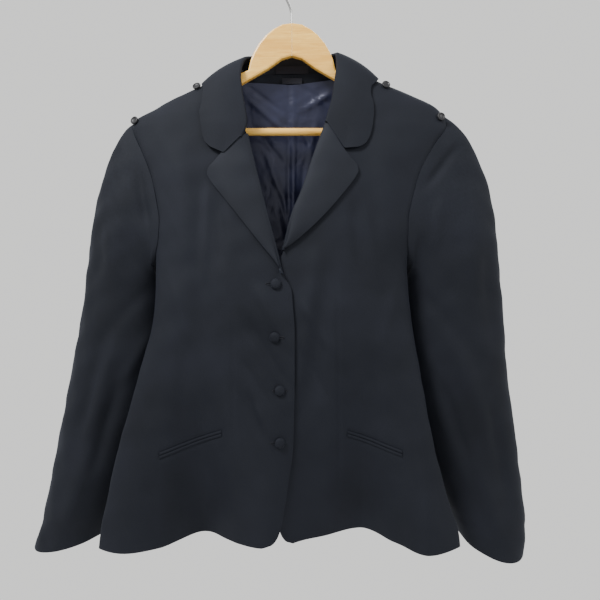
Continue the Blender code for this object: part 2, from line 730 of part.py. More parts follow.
def back_top(sign):
    """The back panel's top boundary: the shoulder seam, then the back neck to the centre."""
    rows = []
    shoulder_z, neck_z = SHOULDER_POINT_Z[sign], NECK_POINT_Z[sign]
    for j in range(SHOULDER_COLUMNS + 1):
        rows.append((sign, shoulder_z + (neck_z - shoulder_z) * j / SHOULDER_COLUMNS))
    neck_columns = BACK_COLUMNS - 1 - SHOULDER_COLUMNS
    for j in range(1, neck_columns + 1):
        share = j / neck_columns
        rows.append((sign * (1 + share), neck_z + (BACK_NECK_Z - neck_z) * share))
    return np.array(rows)


def back_rows(sign):
    """The centre-back seam from the neck to the hem, level with the side rows."""
    chest_z = BREAK_Z[sign]
    low = HEM_Z - BACK_WAVE["drop"].at(0.0)
    heights = [BACK_NECK_Z + (chest_z - BACK_NECK_Z) * share for share in armhole_shares()]
    heights += list(np.linspace(chest_z, low, SKIRT_ROWS + 1)[1:])
    return [np.array([2.0 * sign, z]) for z in heights]


def backs(wool):
    """The two back panels, joined by the centre-back seam."""
    for sign, name in ((-1, "back_right"), (1, "back_left")):
        outer, inner = sheet_of(back_grid(sign), WALL)
        pull_in(outer, inner, SEAM_GAP)
        cloth_piece(name, outer, inner, wool)


def trimmed(points, tops, low):
    """A wall's points with its first rows lowered to the given row places, its last row raised."""
    moved = points.copy()
    for column, top in enumerate(tops):
        for row in range(LINING_FIRST):
            place = top + (LINING_FIRST - top) * row / LINING_FIRST
            before = int(place)
            step = points[before + 1, column] - points[before, column]
            moved[row, column] = points[before, column] + step * (place - before)
    moved[-1] = points[-2] + (points[-1] - points[-2]) * low
    return moved


def back_lining(satin):
    """The satin lining inside the back, which shows through the open neck."""
    tops = [LINING_SHOULDER] * (SHOULDER_COLUMNS + 1)
    tops += [LINING_TOP] * (BACK_COLUMNS - len(tops))
    halves = []
    for sign in (-1, 1):
        walls = sheet_of(back_grid(sign), LINING_WALL, -WALL - LINING_GAP)
        halves.append([trimmed(points, tops, LINING_LOW)[:, LINING_SKIP:] for points in walls])
    outer, inner = [
        np.concatenate([right, left[:, ::-1][:, 1:]], axis=1) for right, left in zip(*halves)
    ]
    cloth_piece("back_lining", outer, inner, satin)


def armhole_loop(sign):
    """The armhole's points in order: down the front from shoulder to underarm, up the back."""
    front = side_rows(sign, "front")[: ARMHOLE_ROWS + 1]
    back = side_rows(sign, "back")[: ARMHOLE_ROWS + 1]
    places = front + back[1:-1][::-1]
    points = np.array([body_point(*place) for place in places])
    normals = np.array([body_normal(*place) for place in places])
    tangents = np.roll(points, -1, axis=0) - np.roll(points, 1, axis=0)
    away = np.cross(normals, tangents)
    away /= np.linalg.norm(away, axis=1, keepdims=True)
    towards = points.mean(axis=0) - points
    away *= np.sign((away * towards).sum(axis=1))[:, None]
    return points, normals, away


def sleeve(sign, wool, name):
    """A sleeve: rings that turn from the armhole's own shape to the ovals of arm and cuff."""
    loop, loop_normals, away = armhole_loop(sign)
    count = len(loop)
    top, under = loop[0], loop[ARMHOLE_ROWS]
    start = SleeveRow(abs(top[0]), top[2], abs(under[0]), under[2], -0.012, 0.030, 1.0)
    rows = curves_of([start] + SLEEVES[sign])
    axis = (under - top)[[0, 2]]
    length = np.linalg.norm(axis)
    axis_unit = axis / length
    side_unit = np.array([-axis_unit[1], axis_unit[0]])
    offsets = loop[:, [0, 2]] - top[[0, 2]]
    loop_along = offsets @ axis_unit / length
    loop_aside = offsets @ side_unit
    down = [math.pi * share for share in armhole_shares()]
    turns = np.array(down + [math.tau - turn for turn in down[1:-1][::-1]])
    last = len(SLEEVES[sign])
    rings = np.zeros((SLEEVE_RINGS + 1, count + 1, 3))
    for i in range(SLEEVE_RINGS + 1):
        share = i / SLEEVE_RINGS
        place = last * (SLEEVE_SPREAD * share + (1 - SLEEVE_SPREAD) * share * share)
        value = {column: curve.at(place) for column, curve in rows.items()}
        outer = np.array([sign * value["outer_x"], value["outer_z"]])
        inner = np.array([sign * value["inner_x"], value["inner_z"]])
        kept = value["share"]
        ring_axis = inner - outer
        ring_side = np.array([-ring_axis[1], ring_axis[0]]) / np.linalg.norm(ring_axis)
        oval = (1 - np.cos(turns)) / 2
        along = kept * loop_along + (1 - kept) * oval
        aside = kept * loop_aside
        depth = value["centre_y"] - value["half_depth"] * np.sin(turns)
        xz = outer + along[:, None] * ring_axis + aside[:, None] * ring_side
        rings[i, :count, 0] = xz[:, 0]
        rings[i, :count, 1] = kept * loop[:, 1] + (1 - kept) * depth
        rings[i, :count, 2] = xz[:, 1]
        near_cuff = max(0.0, 1 - (SLEEVE_RINGS - i) / CUFF_DROP_RINGS)
        rings[i, :count, 2] -= near_cuff * CUFF_FRONT_DROP[sign] * np.sin(turns)
    rings[0, :count] = loop + away * SEAM_GAP
    rings[:, count] = rings[:, 0]
    wrapped = np.concatenate([rings[:, -2:-1], rings, rings[:, 1:2]], axis=1)
    normals = grid_normals(wrapped)[:, 1:-1]
    centre = rings[:, :count].mean(axis=1, keepdims=True)
    if ((rings - centre) * normals).sum() < 0:
        normals = -normals
    inner_rings = rings - normals * WALL
    inner_rings[0, :count] = loop - loop_normals * WALL + away * SEAM_GAP
    inner_rings[0, count] = inner_rings[0, 0]
    cloth_piece(name, rings, inner_rings, wool, tube=True)


def lapel(sign, tree, wool, name):
    """A lapel: the front's facing turned back along the roll line, notch to break."""
    outline = curves_of(LAPELS[sign])
    edge = EDGES[sign]
    last = len(LAPELS[sign]) - 1
    outer = np.zeros((LAPEL_ROWS, LAPEL_COLUMNS, 3))
    inner = np.zeros((LAPEL_ROWS, LAPEL_COLUMNS, 3))
    for i in range(LAPEL_ROWS):
        share = i / (LAPEL_ROWS - 1)
        roll_z = GORGE_TOP_Z[sign] + (LAPEL_END_Z[sign] - GORGE_TOP_Z[sign]) * share
        roll_x = edge.at(roll_z)
        tip_x = outline["x"].at(last * share)
        tip_z = outline["z"].at(last * share)
        for j in range(LAPEL_COLUMNS):
            u = j / (LAPEL_COLUMNS - 1)
            x = roll_x + (tip_x - roll_x) * u
            z = roll_z + (tip_z - roll_z) * u
            lift = LAP_GAP + LAPEL_LIFT * u**LAPEL_ROLL * (1 - u)
            point, normal = on_panel(tree, None, z, x)
            outer[i, j] = point + normal * (lift + LAPEL_WALL)
            inner[i, j] = point + normal * lift
    cloth_piece(name, outer, inner, wool)


def collar(wool):
    """The collar: a stand that rises from the neck seam, the roll, and the fall outside it."""
    rows = curves_of(COLLAR)
    middle_row = len(COLLAR) // 2
    columns = 6 + len(COLLAR_FALL)
    points = np.zeros((COLLAR_SECTIONS, columns, 3))
    seat = LAP_GAP + COLLAR_WALL / 2
    for i in range(COLLAR_SECTIONS):
        place = (len(COLLAR) - 1) * i / (COLLAR_SECTIONS - 1)
        value = {name: curve.at(place) for name, curve in rows.items()}
        sign = -1 if place < middle_row else 1
        fold = np.array([value["fold_x"], value["fold_y"], value["fold_z"]])
        edge = out_of_body(sign * value["edge_around"], value["edge_z"], seat)
        base = out_of_body(sign * value["base_around"], value["base_z"], seat)
        rise = fold - edge
        rise /= np.linalg.norm(rise)
        out = body_normal(sign * value["edge_around"], value["edge_z"])
        out = out - rise * (out @ rise)
        out /= np.linalg.norm(out)
        centre = fold - rise * COLLAR_ROLL
        stand_top = centre - out * COLLAR_ROLL
        fall_top = centre + out * COLLAR_ROLL
        half = math.sqrt(0.5) * COLLAR_ROLL
        section = [
            base,
            (base + stand_top) / 2,
            stand_top,
            centre + (rise - out) * half,
            fold,
            centre + (rise + out) * half,
        ]
        for share in COLLAR_FALL:
            bulge = COLLAR_BULGE * 4 * share * (1 - share)
            point = fall_top + (edge - fall_top) * share + out * bulge
            dip = min(share / COLLAR_NOTCH, (1 - share) / (1 - COLLAR_NOTCH))
            point[2] -= value["end_dip"] * dip
            section.append(point)
        points[i] = section
    normals = grid_normals(points)
    if normals[COLLAR_SECTIONS // 2, -1] @ np.array([0.0, 1.0, 0.0]) < 0:
        normals = -normals
    half_wall = COLLAR_WALL / 2
    cloth_piece("collar", points + normals * half_wall, points - normals * half_wall, wool)


def welts(trees, wool):
    """Two narrow welts along each pocket's slit."""
    for sign, side in ((-1, "right"), (1, "left")):
        pocket = POCKETS[sign]
        for level, name in ((1, "upper"), (-1, "lower")):
            outer = np.zeros((3, WELT_COLUMNS, 3))
            inner = np.zeros((3, WELT_COLUMNS, 3))
            for j in range(WELT_COLUMNS):
                share = j / (WELT_COLUMNS - 1)
                x = pocket.inner_x + (pocket.outer_x - pocket.inner_x) * share
                z = pocket.inner_z + (pocket.outer_z - pocket.inner_z) * share
                for i in range(3):
                    rise = level * (WELT_SLOT / 2 + WELT_HEIGHT * i / 2)
                    swell = 0.0003 if i == 1 else 0.0
                    point, normal = on_panel(trees[sign], None, z + rise, x)
                    outer[i, j] = point + normal * (LAP_GAP + THIN_WALL + swell)
                    inner[i, j] = point + normal * LAP_GAP
            cloth_piece(f"pocket_{side}_{name}", outer, inner, wool)


def domed_button(name, centre, normal, radius, height, profile, material):
    """A round button, spun from its half section, standing on the cloth."""
    button = bmesh.new()
    verts = [button.verts.new((radius * r, 0.0, height * h)) for r, h in profile]
    edges = [button.edges.new((verts[i], verts[i + 1])) for i in range(len(verts) - 1)]
    bmesh.ops.spin(button, geom=verts + edges, cent=(0, 0, 0), axis=(0, 0, 1),
                   angle=math.tau, steps=BUTTON_SIDES, use_merge=True)
    bmesh.ops.remove_doubles(button, verts=button.verts[:], dist=1e-6)
    piece = add_object(name, button, material)
    piece.location = Vector(centre)
    piece.rotation_euler = Vector(normal).to_track_quat("Z", "Y").to_euler()
    return piece


COVERED_PROFILE = ((0, 0), (0.72, 0), (0.92, 0.12), (1, 0.35), (0.93, 0.62), (0.7, 0.84),
                   (0.38, 0.96), (0, 1))
RIM_PROFILE = ((0, 0), (0.6, 0), (0.85, 0.2), (1, 0.55), (0.96, 0.85), (0.8, 1), (0.62, 0.8),
               (0.3, 0.68), (0, 0.66))


def buttons(trees, wool, plastic):
    """Four covered buttons down the front, and four small ones for the shoulder boards."""
    for number, place in enumerate(FRONT_BUTTONS, 1):
        point, normal = on_panel(trees[-1], None, place.z, place.x)
        domed_button(f"button_{number}", point + normal * LAP_GAP, normal, BUTTON_RADIUS,
                     BUTTON_HEIGHT, COVERED_PROFILE, wool)
    for number, place in enumerate(SHOULDER_BUTTONS, 1):
        side = -1 if place.around < 0 else 1
        point, normal = on_panel(trees[side], place.around, place.z)
        seat = point + normal * SHANK
        domed_button(f"shoulder_button_{number}", seat, normal, SHOULDER_BUTTON_RADIUS,
                     SHOULDER_BUTTON_HEIGHT, RIM_PROFILE, plastic)


def slab(name, centre, half, material):
    """A thin box for a label."""
    box = bmesh.new()
    bmesh.ops.create_cube(box, size=1.0)
    for vert in box.verts:
        vert.co = Vector(centre) + Vector([2 * c * h for c, h in zip(vert.co, half)])
    return add_object(name, box, material, smooth=False)


def labels(label_cloth):
    """The bare neck label on the collar stand, and the size tab below it on the lining."""
    slab("neck_label", (0.0, LABEL_Y, LABEL_Z),
         (LABEL_SIZE[0] / 2, LABEL_WALL / 2, LABEL_SIZE[1] / 2), label_cloth)
    lining_y = body_point(2.0, TAB_Z)[1] - WALL - LINING_GAP - LINING_WALL
    slab("size_tab", (0.0, lining_y - TAB_LIFT, TAB_Z),
         (TAB_SIZE[0] / 2, LABEL_WALL / 2, TAB_SIZE[1] / 2), label_cloth)


def board_half(sign, wood, name):
    """Half of the hanger's board: hump, sloping arm and the tail that holds the bar."""
    top = [(p.x, p.z) for p in BOARD_TOP]
    for x in ARM_STATIONS:
        z = NECK_POINT_Z[1]
        while reach(sign, z) < x and z > ARM_TAIL_Z:
            z -= ARM_SEARCH
        top.append((x, z - WALL - ARM_CLEARANCE))
    low = [(ARM_TIP_X, top[-1][1] - TIP_CORNER), (ARM_TIP_X, ARM_TAIL_Z + TAIL_CORNER),
           (ARM_TIP_X - TAIL_CORNER, ARM_TAIL_Z), (TAIL_X + TAIL_CORNER, ARM_TAIL_Z),
           (TAIL_X, ARM_TAIL_Z + TAIL_CORNER)]
    low += [(p.x, p.z) for p in BOARD_LOW]
    outline = top + low
    gap = SEAM_GAP / 2
    board = bmesh.new()
    verts = [board.verts.new((sign * max(x, gap), -BOARD_THICKNESS / 2, z)) for x, z in outline]
    face = board.faces.new(verts)
    extruded = bmesh.ops.extrude_face_region(board, geom=[face])
    moved = [v for v in extruded["geom"] if isinstance(v, bmesh.types.BMVert)]
    bmesh.ops.translate(board, verts=moved, vec=(0, BOARD_THICKNESS, 0))
    rims = [e for e in board.edges
            if abs(e.verts[0].co.y - e.verts[1].co.y) < 1e-6
            and abs(e.verts[0].co.x) + abs(e.verts[1].co.x) > 3 * gap]
    bmesh.ops.bevel(board, geom=rims, offset=BOARD_ROUND, offset_type="OFFSET", segments=2,
                    profile=0.5, affect="EDGES", material=-1, clamp_overlap=True)
    return add_object(name, board, wood)


def bar_and_hook(wood, steel):
    """The round trouser bar between the arms' tails, and the bent wire hook."""
    bar = bmesh.new()
    length = 2 * (TAIL_X - SEAM_GAP)
    bmesh.ops.create_cone(bar, cap_ends=True, segments=BAR_SIDES, radius1=BAR_RADIUS,
                          radius2=BAR_RADIUS, depth=length)
    for vert in bar.verts:
        vert.co = (vert.co.z, vert.co.x, vert.co.y + BAR_Z)
    add_object("trouser_bar", bar, wood)
    radius = HOOK_INNER_RADIUS + WIRE_RADIUS
    centre_z = -HOOK_INNER_RADIUS
    points = [(STEM_X, BOARD_TOP[0].z + SEAM_GAP), (STEM_X, STEM_TOP_Z)]
    for i in range(HOOK_STEPS + 1):
        turn = math.radians(HOOK_START_DEG + (HOOK_END_DEG - HOOK_START_DEG) * i / HOOK_STEPS)
        points.append((radius * math.cos(turn), centre_z + radius * math.sin(turn)))
    path = smooth_path(points, WIRE_POINTS)
    wire = bpy.data.curves.new("hook", "CURVE")
    wire.dimensions = "3D"
    wire.bevel_depth = WIRE_RADIUS
    wire.bevel_resolution = 2
    wire.use_fill_caps = True
    spline = wire.splines.new("POLY")
    spline.points.add(len(path) - 1)
    for point, (x, z) in zip(spline.points, path):
        point.co = (x, 0.0, z, 1.0)
    wire.materials.append(steel)
    hook = bpy.data.objects.new("hook", wire)
    bpy.context.scene.collection.objects.link(hook)


def smooth_path(points, count):
    """Evenly spaced points on a smooth curve through the given ones."""
    points = np.array(points)
    length = np.concatenate([[0], np.cumsum(np.linalg.norm(np.diff(points, axis=0), axis=1))])
    xs, zs = Curve(length, points[:, 0]), Curve(length, points[:, 1])
    return [(xs.at(d), zs.at(d)) for d in np.linspace(0, length[-1], count)]


def main():
    for thing in list(bpy.data.objects):
        bpy.data.objects.remove(thing, do_unlink=True)
    wool = material_of("wool", (0.010, 0.012, 0.022), 0.85)
    satin = material_of("satin", (0.020, 0.019, 0.045), 0.35)
    label_cloth = material_of("label_cloth", (0.012, 0.012, 0.014), 0.7)
    plastic = material_of("button_plastic", (0.010, 0.010, 0.012), 0.3)
    wood = material_of("varnished_wood", (0.62, 0.36, 0.15), 0.4)
    steel = material_of("hook_steel", (0.62, 0.62, 0.63), 0.3, 1.0)
    trees = fronts(wool)
    backs(wool)
    back_lining(satin)
    sleeve(-1, wool, "sleeve_right")
    sleeve(1, wool, "sleeve_left")
    lapel(-1, trees[-1], wool, "lapel_right")
    lapel(1, trees[1], wool, "lapel_left")
    collar(wool)
    welts(trees, wool)
    buttons(trees, wool, plastic)
    labels(label_cloth)
    board_half(-1, wood, "hanger_right")
    board_half(1, wood, "hanger_left")
    bar_and_hook(wood, steel)


main()
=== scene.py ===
"""The looks of a women's uniform jacket on its wooden hanger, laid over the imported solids.

Metres, +Z up. The front faces -Y, and the jacket's right side, as worn, is at -X. The sections
follow the jacket as it is put together: hanger, fronts, back, lining, sleeves, lapels, collar,
pockets, buttons, buttonholes, labels. The body's surface is a stack of level rings: around is 0 at
centre front, 1 at the side or on the shoulder line and 2 at centre back, and negative at -X.
"""

import math
from collections import namedtuple

import bmesh
import bpy
import numpy as np
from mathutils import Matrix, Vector


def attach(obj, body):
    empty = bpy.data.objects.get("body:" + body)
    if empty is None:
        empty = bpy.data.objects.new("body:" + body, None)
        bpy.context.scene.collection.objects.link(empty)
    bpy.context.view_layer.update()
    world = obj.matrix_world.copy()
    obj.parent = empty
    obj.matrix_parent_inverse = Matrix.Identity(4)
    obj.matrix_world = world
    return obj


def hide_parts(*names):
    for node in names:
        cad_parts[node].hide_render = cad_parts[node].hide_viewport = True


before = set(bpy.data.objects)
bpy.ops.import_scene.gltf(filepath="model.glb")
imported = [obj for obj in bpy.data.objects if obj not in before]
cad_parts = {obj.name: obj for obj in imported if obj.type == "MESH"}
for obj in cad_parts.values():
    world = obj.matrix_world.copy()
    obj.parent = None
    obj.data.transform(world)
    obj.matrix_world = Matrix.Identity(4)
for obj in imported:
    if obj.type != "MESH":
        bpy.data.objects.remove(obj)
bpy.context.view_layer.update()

# The picture is taken straight on, level with the chest and a little over a metre away, in soft
# light from the upper left. The floor lies well below the cuffs.
CAMERA_PLACE = (0.012, -1.05, -0.4935)
CAMERA_LENS = 42.0
FLOOR_Z = -1.90
FLOOR_HALF = 2.2
FLOOR_COLOUR = (0.80, 0.80, 0.80)
SKY_COLOUR = (0.90, 0.90, 0.885)
SKY_STRENGTH = 1.15
Lamp = namedtuple("Lamp", "name place size watts")
LAMPS = [
    Lamp("key", (-1.0, -1.1, 1.1), 0.6, 66.0),
    Lamp("fill", (1.6, -1.2, 0.5), 1.0, 18.0),
    Lamp("back", (0.3, 1.6, 0.9), 1.2, 20.0),
]
LAMP_AIM = (0.0, 0.0, -0.5)


def link(thing):
    bpy.context.scene.collection.objects.link(thing)
    return thing


def new_material(name, roughness, **values):
    """A material with uniform values set on its shader, and its node tree and shader."""
    material = bpy.data.materials.new(name)
    material.use_nodes = True
    shader = material.node_tree.nodes["Principled BSDF"]
    shader.inputs["Roughness"].default_value = roughness
    for socket, value in values.items():
        shader.inputs[socket.replace("_", " ")].default_value = value
    return material, material.node_tree, shader


camera_data = bpy.data.cameras.new("camera")
camera_data.lens = CAMERA_LENS
camera = link(bpy.data.objects.new("camera", camera_data))
camera.location = CAMERA_PLACE
camera.rotation_euler = (math.pi / 2, 0, 0)
bpy.context.scene.camera = camera

floor_builder = bmesh.new()
bmesh.ops.create_grid(floor_builder, x_segments=1, y_segments=1, size=FLOOR_HALF)
bmesh.ops.translate(floor_builder, verts=floor_builder.verts[:], vec=(0, 0, FLOOR_Z))
floor_mesh = bpy.data.meshes.new("floor")
floor_builder.to_mesh(floor_mesh)
floor_builder.free()
floor_material, _, floor_shader = new_material("pale_floor", 0.9)
floor_shader.inputs["Base Color"].default_value = (*FLOOR_COLOUR, 1)
floor_mesh.materials.append(floor_material)
link(bpy.data.objects.new("floor", floor_mesh))

world = bpy.data.worlds.new("studio")
world.use_nodes = True
world.node_tree.nodes["Background"].inputs["Color"].default_value = (*SKY_COLOUR, 1)
world.node_tree.nodes["Background"].inputs["Strength"].default_value = SKY_STRENGTH
bpy.context.scene.world = world

for lamp in LAMPS:
    lamp_data = bpy.data.lights.new(lamp.name, "AREA")
    lamp_data.size = lamp.size
    lamp_data.energy = lamp.watts
    lamp_object = link(bpy.data.objects.new(lamp.name, lamp_data))
    lamp_object.location = lamp.place
    aim = Vector(LAMP_AIM) - Vector(lamp.place)
    lamp_object.rotation_euler = aim.to_track_quat("-Z", "Y").to_euler()


# The hanger is two flat beech halves glued at the middle, with a round trouser bar, all under a
# clear varnish. Its grain runs along the arms. The hook is bent plated wire, screwed in.
WOOD_LIGHT = (0.86, 0.53, 0.12, 1)
WOOD_DARK = (0.66, 0.34, 0.05, 1)
WOOD_STRETCH = (5.0, 60.0, 60.0)
ARM_SLOPE = math.radians(24)
STEEL_DARK = (0.24, 0.24, 0.24, 1)
STEEL_LIGHT = (0.40, 0.40, 0.39, 1)


def add_node(tree, kind, inputs=None, **settings):
    """Adds a shader node. A socket given as an input is linked, and a value is set."""
    made = tree.nodes.new(kind)
    for setting, value in settings.items():
        setattr(made, setting, value)
    for socket, value in (inputs or {}).items():
        if isinstance(value, bpy.types.NodeSocket):
            tree.links.new(value, made.inputs[socket])
        else:
            made.inputs[socket].default_value = value
    return made


def noise(tree, vector, scale, detail, **more):
    """The value of a noise pattern."""
    inputs = {"Vector": vector, "Scale": scale, "Detail": detail, **more}
    return add_node(tree, "ShaderNodeTexNoise", inputs).outputs["Fac"]


def tint(tree, shader, pattern, dark, light, low=0.0, high=1.0):
    """Colours a finish from dark to light by a pattern."""
    ramp = add_node(tree, "ShaderNodeValToRGB", {"Fac": pattern})
    for stop, position, colour in zip(ramp.color_ramp.elements, (low, high), (dark, light)):
        stop.position = position
        stop.color = colour
    tree.links.new(ramp.outputs["Color"], shader.inputs["Base Color"])


def emboss(tree, shader, height, strength, distance, **more):
    """Raises a finish by a pattern."""
    inputs = {"Height": height, "Strength": strength, "Distance": distance, **more}
    bump = add_node(tree, "ShaderNodeBump", inputs)
    tree.links.new(bump.outputs["Normal"], shader.inputs["Normal"])


def varnished_wood(name, turn, shift):
    """Straight-grained beech under varnish, with its grain turned to follow a piece."""
    material, tree, shader = new_material(name, 0.40, Coat_Weight=0.20, Coat_Roughness=0.15)
    place = add_node(tree, "ShaderNodeTexCoord").outputs["Object"]
    turned = add_node(tree, "ShaderNodeMapping", {
        "Vector": place, "Location": shift, "Rotation": (0, turn, 0), "Scale": WOOD_STRETCH,
    }).outputs["Vector"]
    grain = noise(tree, turned, scale=1.0, detail=6.0, Roughness=0.6, Distortion=0.4)
    flecks = noise(tree, turned, scale=7.0, detail=3.0, Roughness=0.7)
    mixed = add_node(tree, "ShaderNodeMath", {0: grain, 1: flecks}, operation="MULTIPLY")
    tint(tree, shader, mixed.outputs[0], WOOD_DARK, WOOD_LIGHT, low=0.14, high=0.40)
    emboss(tree, shader, mixed.outputs[0], strength=0.25, distance=0.0004)
    return material


def clouded(name, roughness, scale, detail, dark, light, **values):
    """A hard finish with a faint cloud over it."""
    material, tree, shader = new_material(name, roughness, **values)
    place = add_node(tree, "ShaderNodeTexCoord").outputs["Object"]
    tint(tree, shader, noise(tree, place, scale, detail), dark, light)
    return material


def dress(node, material):
    """Gives a solid of the frame its finish."""
    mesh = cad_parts[node].data
    mesh.materials.clear()
    mesh.materials.append(material)


dress("hanger_right", varnished_wood("beech_right", -ARM_SLOPE, (0.0, 0.0, 0.0)))
dress("hanger_left", varnished_wood("beech_left", ARM_SLOPE, (0.7, 0.3, 0.2)))
dress("trouser_bar", varnished_wood("beech_bar", 0.0, (0.2, 0.9, 0.5)))
steel = clouded("plated_wire", roughness=0.24, scale=300.0, detail=4.0,
                dark=STEEL_DARK, light=STEEL_LIGHT, Metallic=1.0)
dress("hook", steel)


# The fronts are cut from plain-woven navy wool, one to each side, and sewn at shoulder, side and
# armhole. The right one laps over the left. Each has a waist dart, and its corner is rounded.
WALL = 0.0016
LAP_DEPTH = 0.0045
LAP_X = 0.012
LAP_FADE_X = 0.045
LAP_TOP_Z = -0.36
LAP_FADE_Z = 0.06
RING_POWER = 2.6
RING_SPREAD = 1.3
SLOPE_TURN = 0.02
SLOPE_FALL = 0.003
SIDE_SEAM_AROUND = 1.12
SIDE_SEAM_X = 0.24
UNDERARM_Z = -0.445
HEM_Z = -0.836
FLUTE_TOP_Z = -0.50
FLUTE_POWER = 1.4
FLUTE_LIMIT = 1.1
# Each pair is a place around the body and the width over which a shape fades there.
FRONT_FLUTES_END = (0.95, 0.35)
BACK_FLUTES_START = (1.15, 0.35)
FRONT_FOLDS_END = (0.75, 0.25)
FOLD_OVERRUN = 0.2
FOLD_FADE = 0.45
FRONT_RIPPLE = (0.030, 0.00045)
ARMHOLE_SOFTNESS = 0.6
CORNER_SPREAD = 0.75
ROLL_RADIUS = 0.0027
ROLL_FADE = 0.03
UPPER_ROWS = 78
SKIRT_ROWS = 96
FRONT_COLUMNS = 112
SEAM_SINK = 0.0007
SEAM_WIDTH = 0.0030
EDGE_SINK = 0.0005
EDGE_WIDTH = 0.0020
SHARP_ANGLE = math.radians(50)
SIDES = ((-1, "right"), (1, "left"))


def table(kind, *rows):
    """Rows of numbers as rows with named columns."""
    return [kind._make(row) for row in rows]


Ring = namedtuple("Ring", "z reach_right reach_left front back widest_y slant")
BODY_RINGS = table(
    Ring,
    (-0.9, 0.275, 0.241, 0.052, 0.046, -0.046, 0.058),
    (-0.836, 0.271, 0.238, 0.054, 0.045, -0.046, 0.056),
    (-0.776, 0.261, 0.221, 0.06, 0.044, -0.045, 0.052),
    (-0.702, 0.245, 0.202, 0.066, 0.043, -0.044, 0.047),
    (-0.602, 0.219, 0.185, 0.071, 0.042, -0.042, 0.04),
    (-0.508, 0.198, 0.171, 0.072, 0.042, -0.038, 0.034),
    (-0.445, 0.196, 0.167, 0.068, 0.042, -0.033, 0.028),
    (-0.39, 0.207, 0.181, 0.062, 0.042, -0.026, 0.02),
    (-0.341, 0.22, 0.196, 0.056, 0.041, -0.018, 0.012),
    (-0.297, 0.231, 0.211, 0.05, 0.038, -0.011, 0.006),
    (-0.265, 0.237, 0.224, 0.044, 0.035, -0.006, 0.003),
    (-0.238, 0.2385, 0.233, 0.038, 0.032, -0.002, 0.001),
    (-0.2265, 0.234, 0.2315, 0.035, 0.031, 0.0, 0.0),
    (-0.2085, 0.204, 0.2175, 0.031, 0.029, 0.0, 0.0),
    (-0.1905, 0.171, 0.183, 0.027, 0.0275, 0.0, 0.0),
    (-0.173, 0.1325, 0.1435, 0.022, 0.026, 0.0, 0.0),
    (-0.153, 0.086, 0.098, 0.017, 0.0245, 0.0, 0.0),
    (-0.14, 0.057, 0.068, 0.014, 0.0235, 0.0, 0.0),
)
ArmholeRow = namedtuple("ArmholeRow", "share front back")
ARMHOLE = table(
    ArmholeRow,
    (0.0, 1.0, 1.0), (0.1, 0.88, 1.12), (0.25, 0.775, 1.225),
    (0.45, 0.73, 1.275), (0.65, 0.74, 1.285), (0.82, 0.81, 1.26),
    (0.94, 0.96, 1.19), (1.0, SIDE_SEAM_AROUND, SIDE_SEAM_AROUND),
)
SHOULDER_POINT_Z = {-1: -0.2265, 1: -0.216}
NECK_POINT_Z = {-1: -0.1475, 1: -0.140}
BREAK_Z = -0.4583
EdgeRow = namedtuple("EdgeRow", "z x")
RIGHT_FRONT_EDGE = table(
    EdgeRow,
    (-0.843, -0.042), (-0.838, -0.0265), (-0.826, -0.018), (-0.806, -0.0125),
    (-0.774, -0.007), (-0.746, -0.003), (-0.7, 0.0026), (-0.606, 0.0045),
    (-0.54, 0.0045), (-0.5, 0.0018), (-0.4795, 0.0), (-0.4583, -0.011),
    (-0.427, -0.0185), (-0.352, -0.0381), (-0.285, -0.055), (-0.2361, -0.0665),
    (-0.187, -0.0745), (-0.1475, -0.074),
)
LEFT_FRONT_EDGE = table(
    EdgeRow,
    (-0.843, 0.004), (-0.838, -0.006), (-0.826, -0.013), (-0.806, -0.019),
    (-0.774, -0.026), (-0.7, -0.034), (-0.6, -0.036), (-0.5, -0.035),
    (-0.4583, -0.027), (-0.4255, -0.0149), (-0.372, -0.001), (-0.3369, 0.0134),
    (-0.287, 0.03), (-0.2361, 0.048), (-0.187, 0.062), (-0.14, 0.068),
)
Flute = namedtuple("Flute", "x forward drop")
FRONT_FLUTES = table(
    Flute,
    (-0.29, 0.01, 0.006), (-0.235, 0.027, 0.01), (-0.185, 0.014, 0.006),
    (-0.125, -0.031, -0.006), (-0.075, 0.0, 0.003), (-0.037, 0.014, 0.006),
    (0.006, -0.004, 0.0), (0.05, -0.02, -0.005), (0.1, -0.038, -0.009),
    (0.145, -0.004, 0.003), (0.19, 0.031, 0.011), (0.25, 0.012, 0.004),
)
BACK_FLUTES = table(
    Flute,
    (-0.26, 0.0, 0.0), (-0.19, -0.01, -0.003), (-0.11, 0.014, 0.004),
    (-0.035, -0.01, -0.002), (0.045, 0.013, 0.004), (0.115, -0.012, -0.003),
    (0.18, 0.008, 0.003), (0.24, 0.0, 0.0),
)
# Soft folds of the solids, and the finer creases and darts that only the cloth has. Each runs
# from its upper to its lower end, and a trough or a dart has a negative height.
Fold = namedtuple("Fold", "top_x top_z low_x low_z width height")
FRONT_FOLDS = table(
    Fold,
    (-0.122, -0.32, -0.128, -0.56, 0.02, -0.005),
    (0.036, -0.43, 0.012, -0.62, 0.016, 0.0045),
    (0.05, -0.44, 0.026, -0.64, 0.016, -0.005),
    (-0.045, -0.478, -0.004, -0.56, 0.012, 0.004),
    (-0.062, -0.52, -0.008, -0.62, 0.012, -0.004),
    (-0.07, -0.62, -0.045, -0.74, 0.016, -0.004),
    (0.11, -0.33, 0.118, -0.52, 0.024, -0.005),
    (-0.165, -0.27, -0.15, -0.42, 0.022, 0.0045),
    (0.135, -0.26, 0.14, -0.42, 0.022, 0.0045),
)
BACK_FOLDS = table(
    Fold,
    (-0.13, -0.3, -0.12, -0.56, 0.024, -0.006),
    (0.12, -0.29, 0.112, -0.54, 0.024, -0.006),
    (-0.06, -0.42, -0.075, -0.68, 0.022, 0.0045),
    (0.055, -0.4, 0.07, -0.64, 0.022, 0.0045),
)
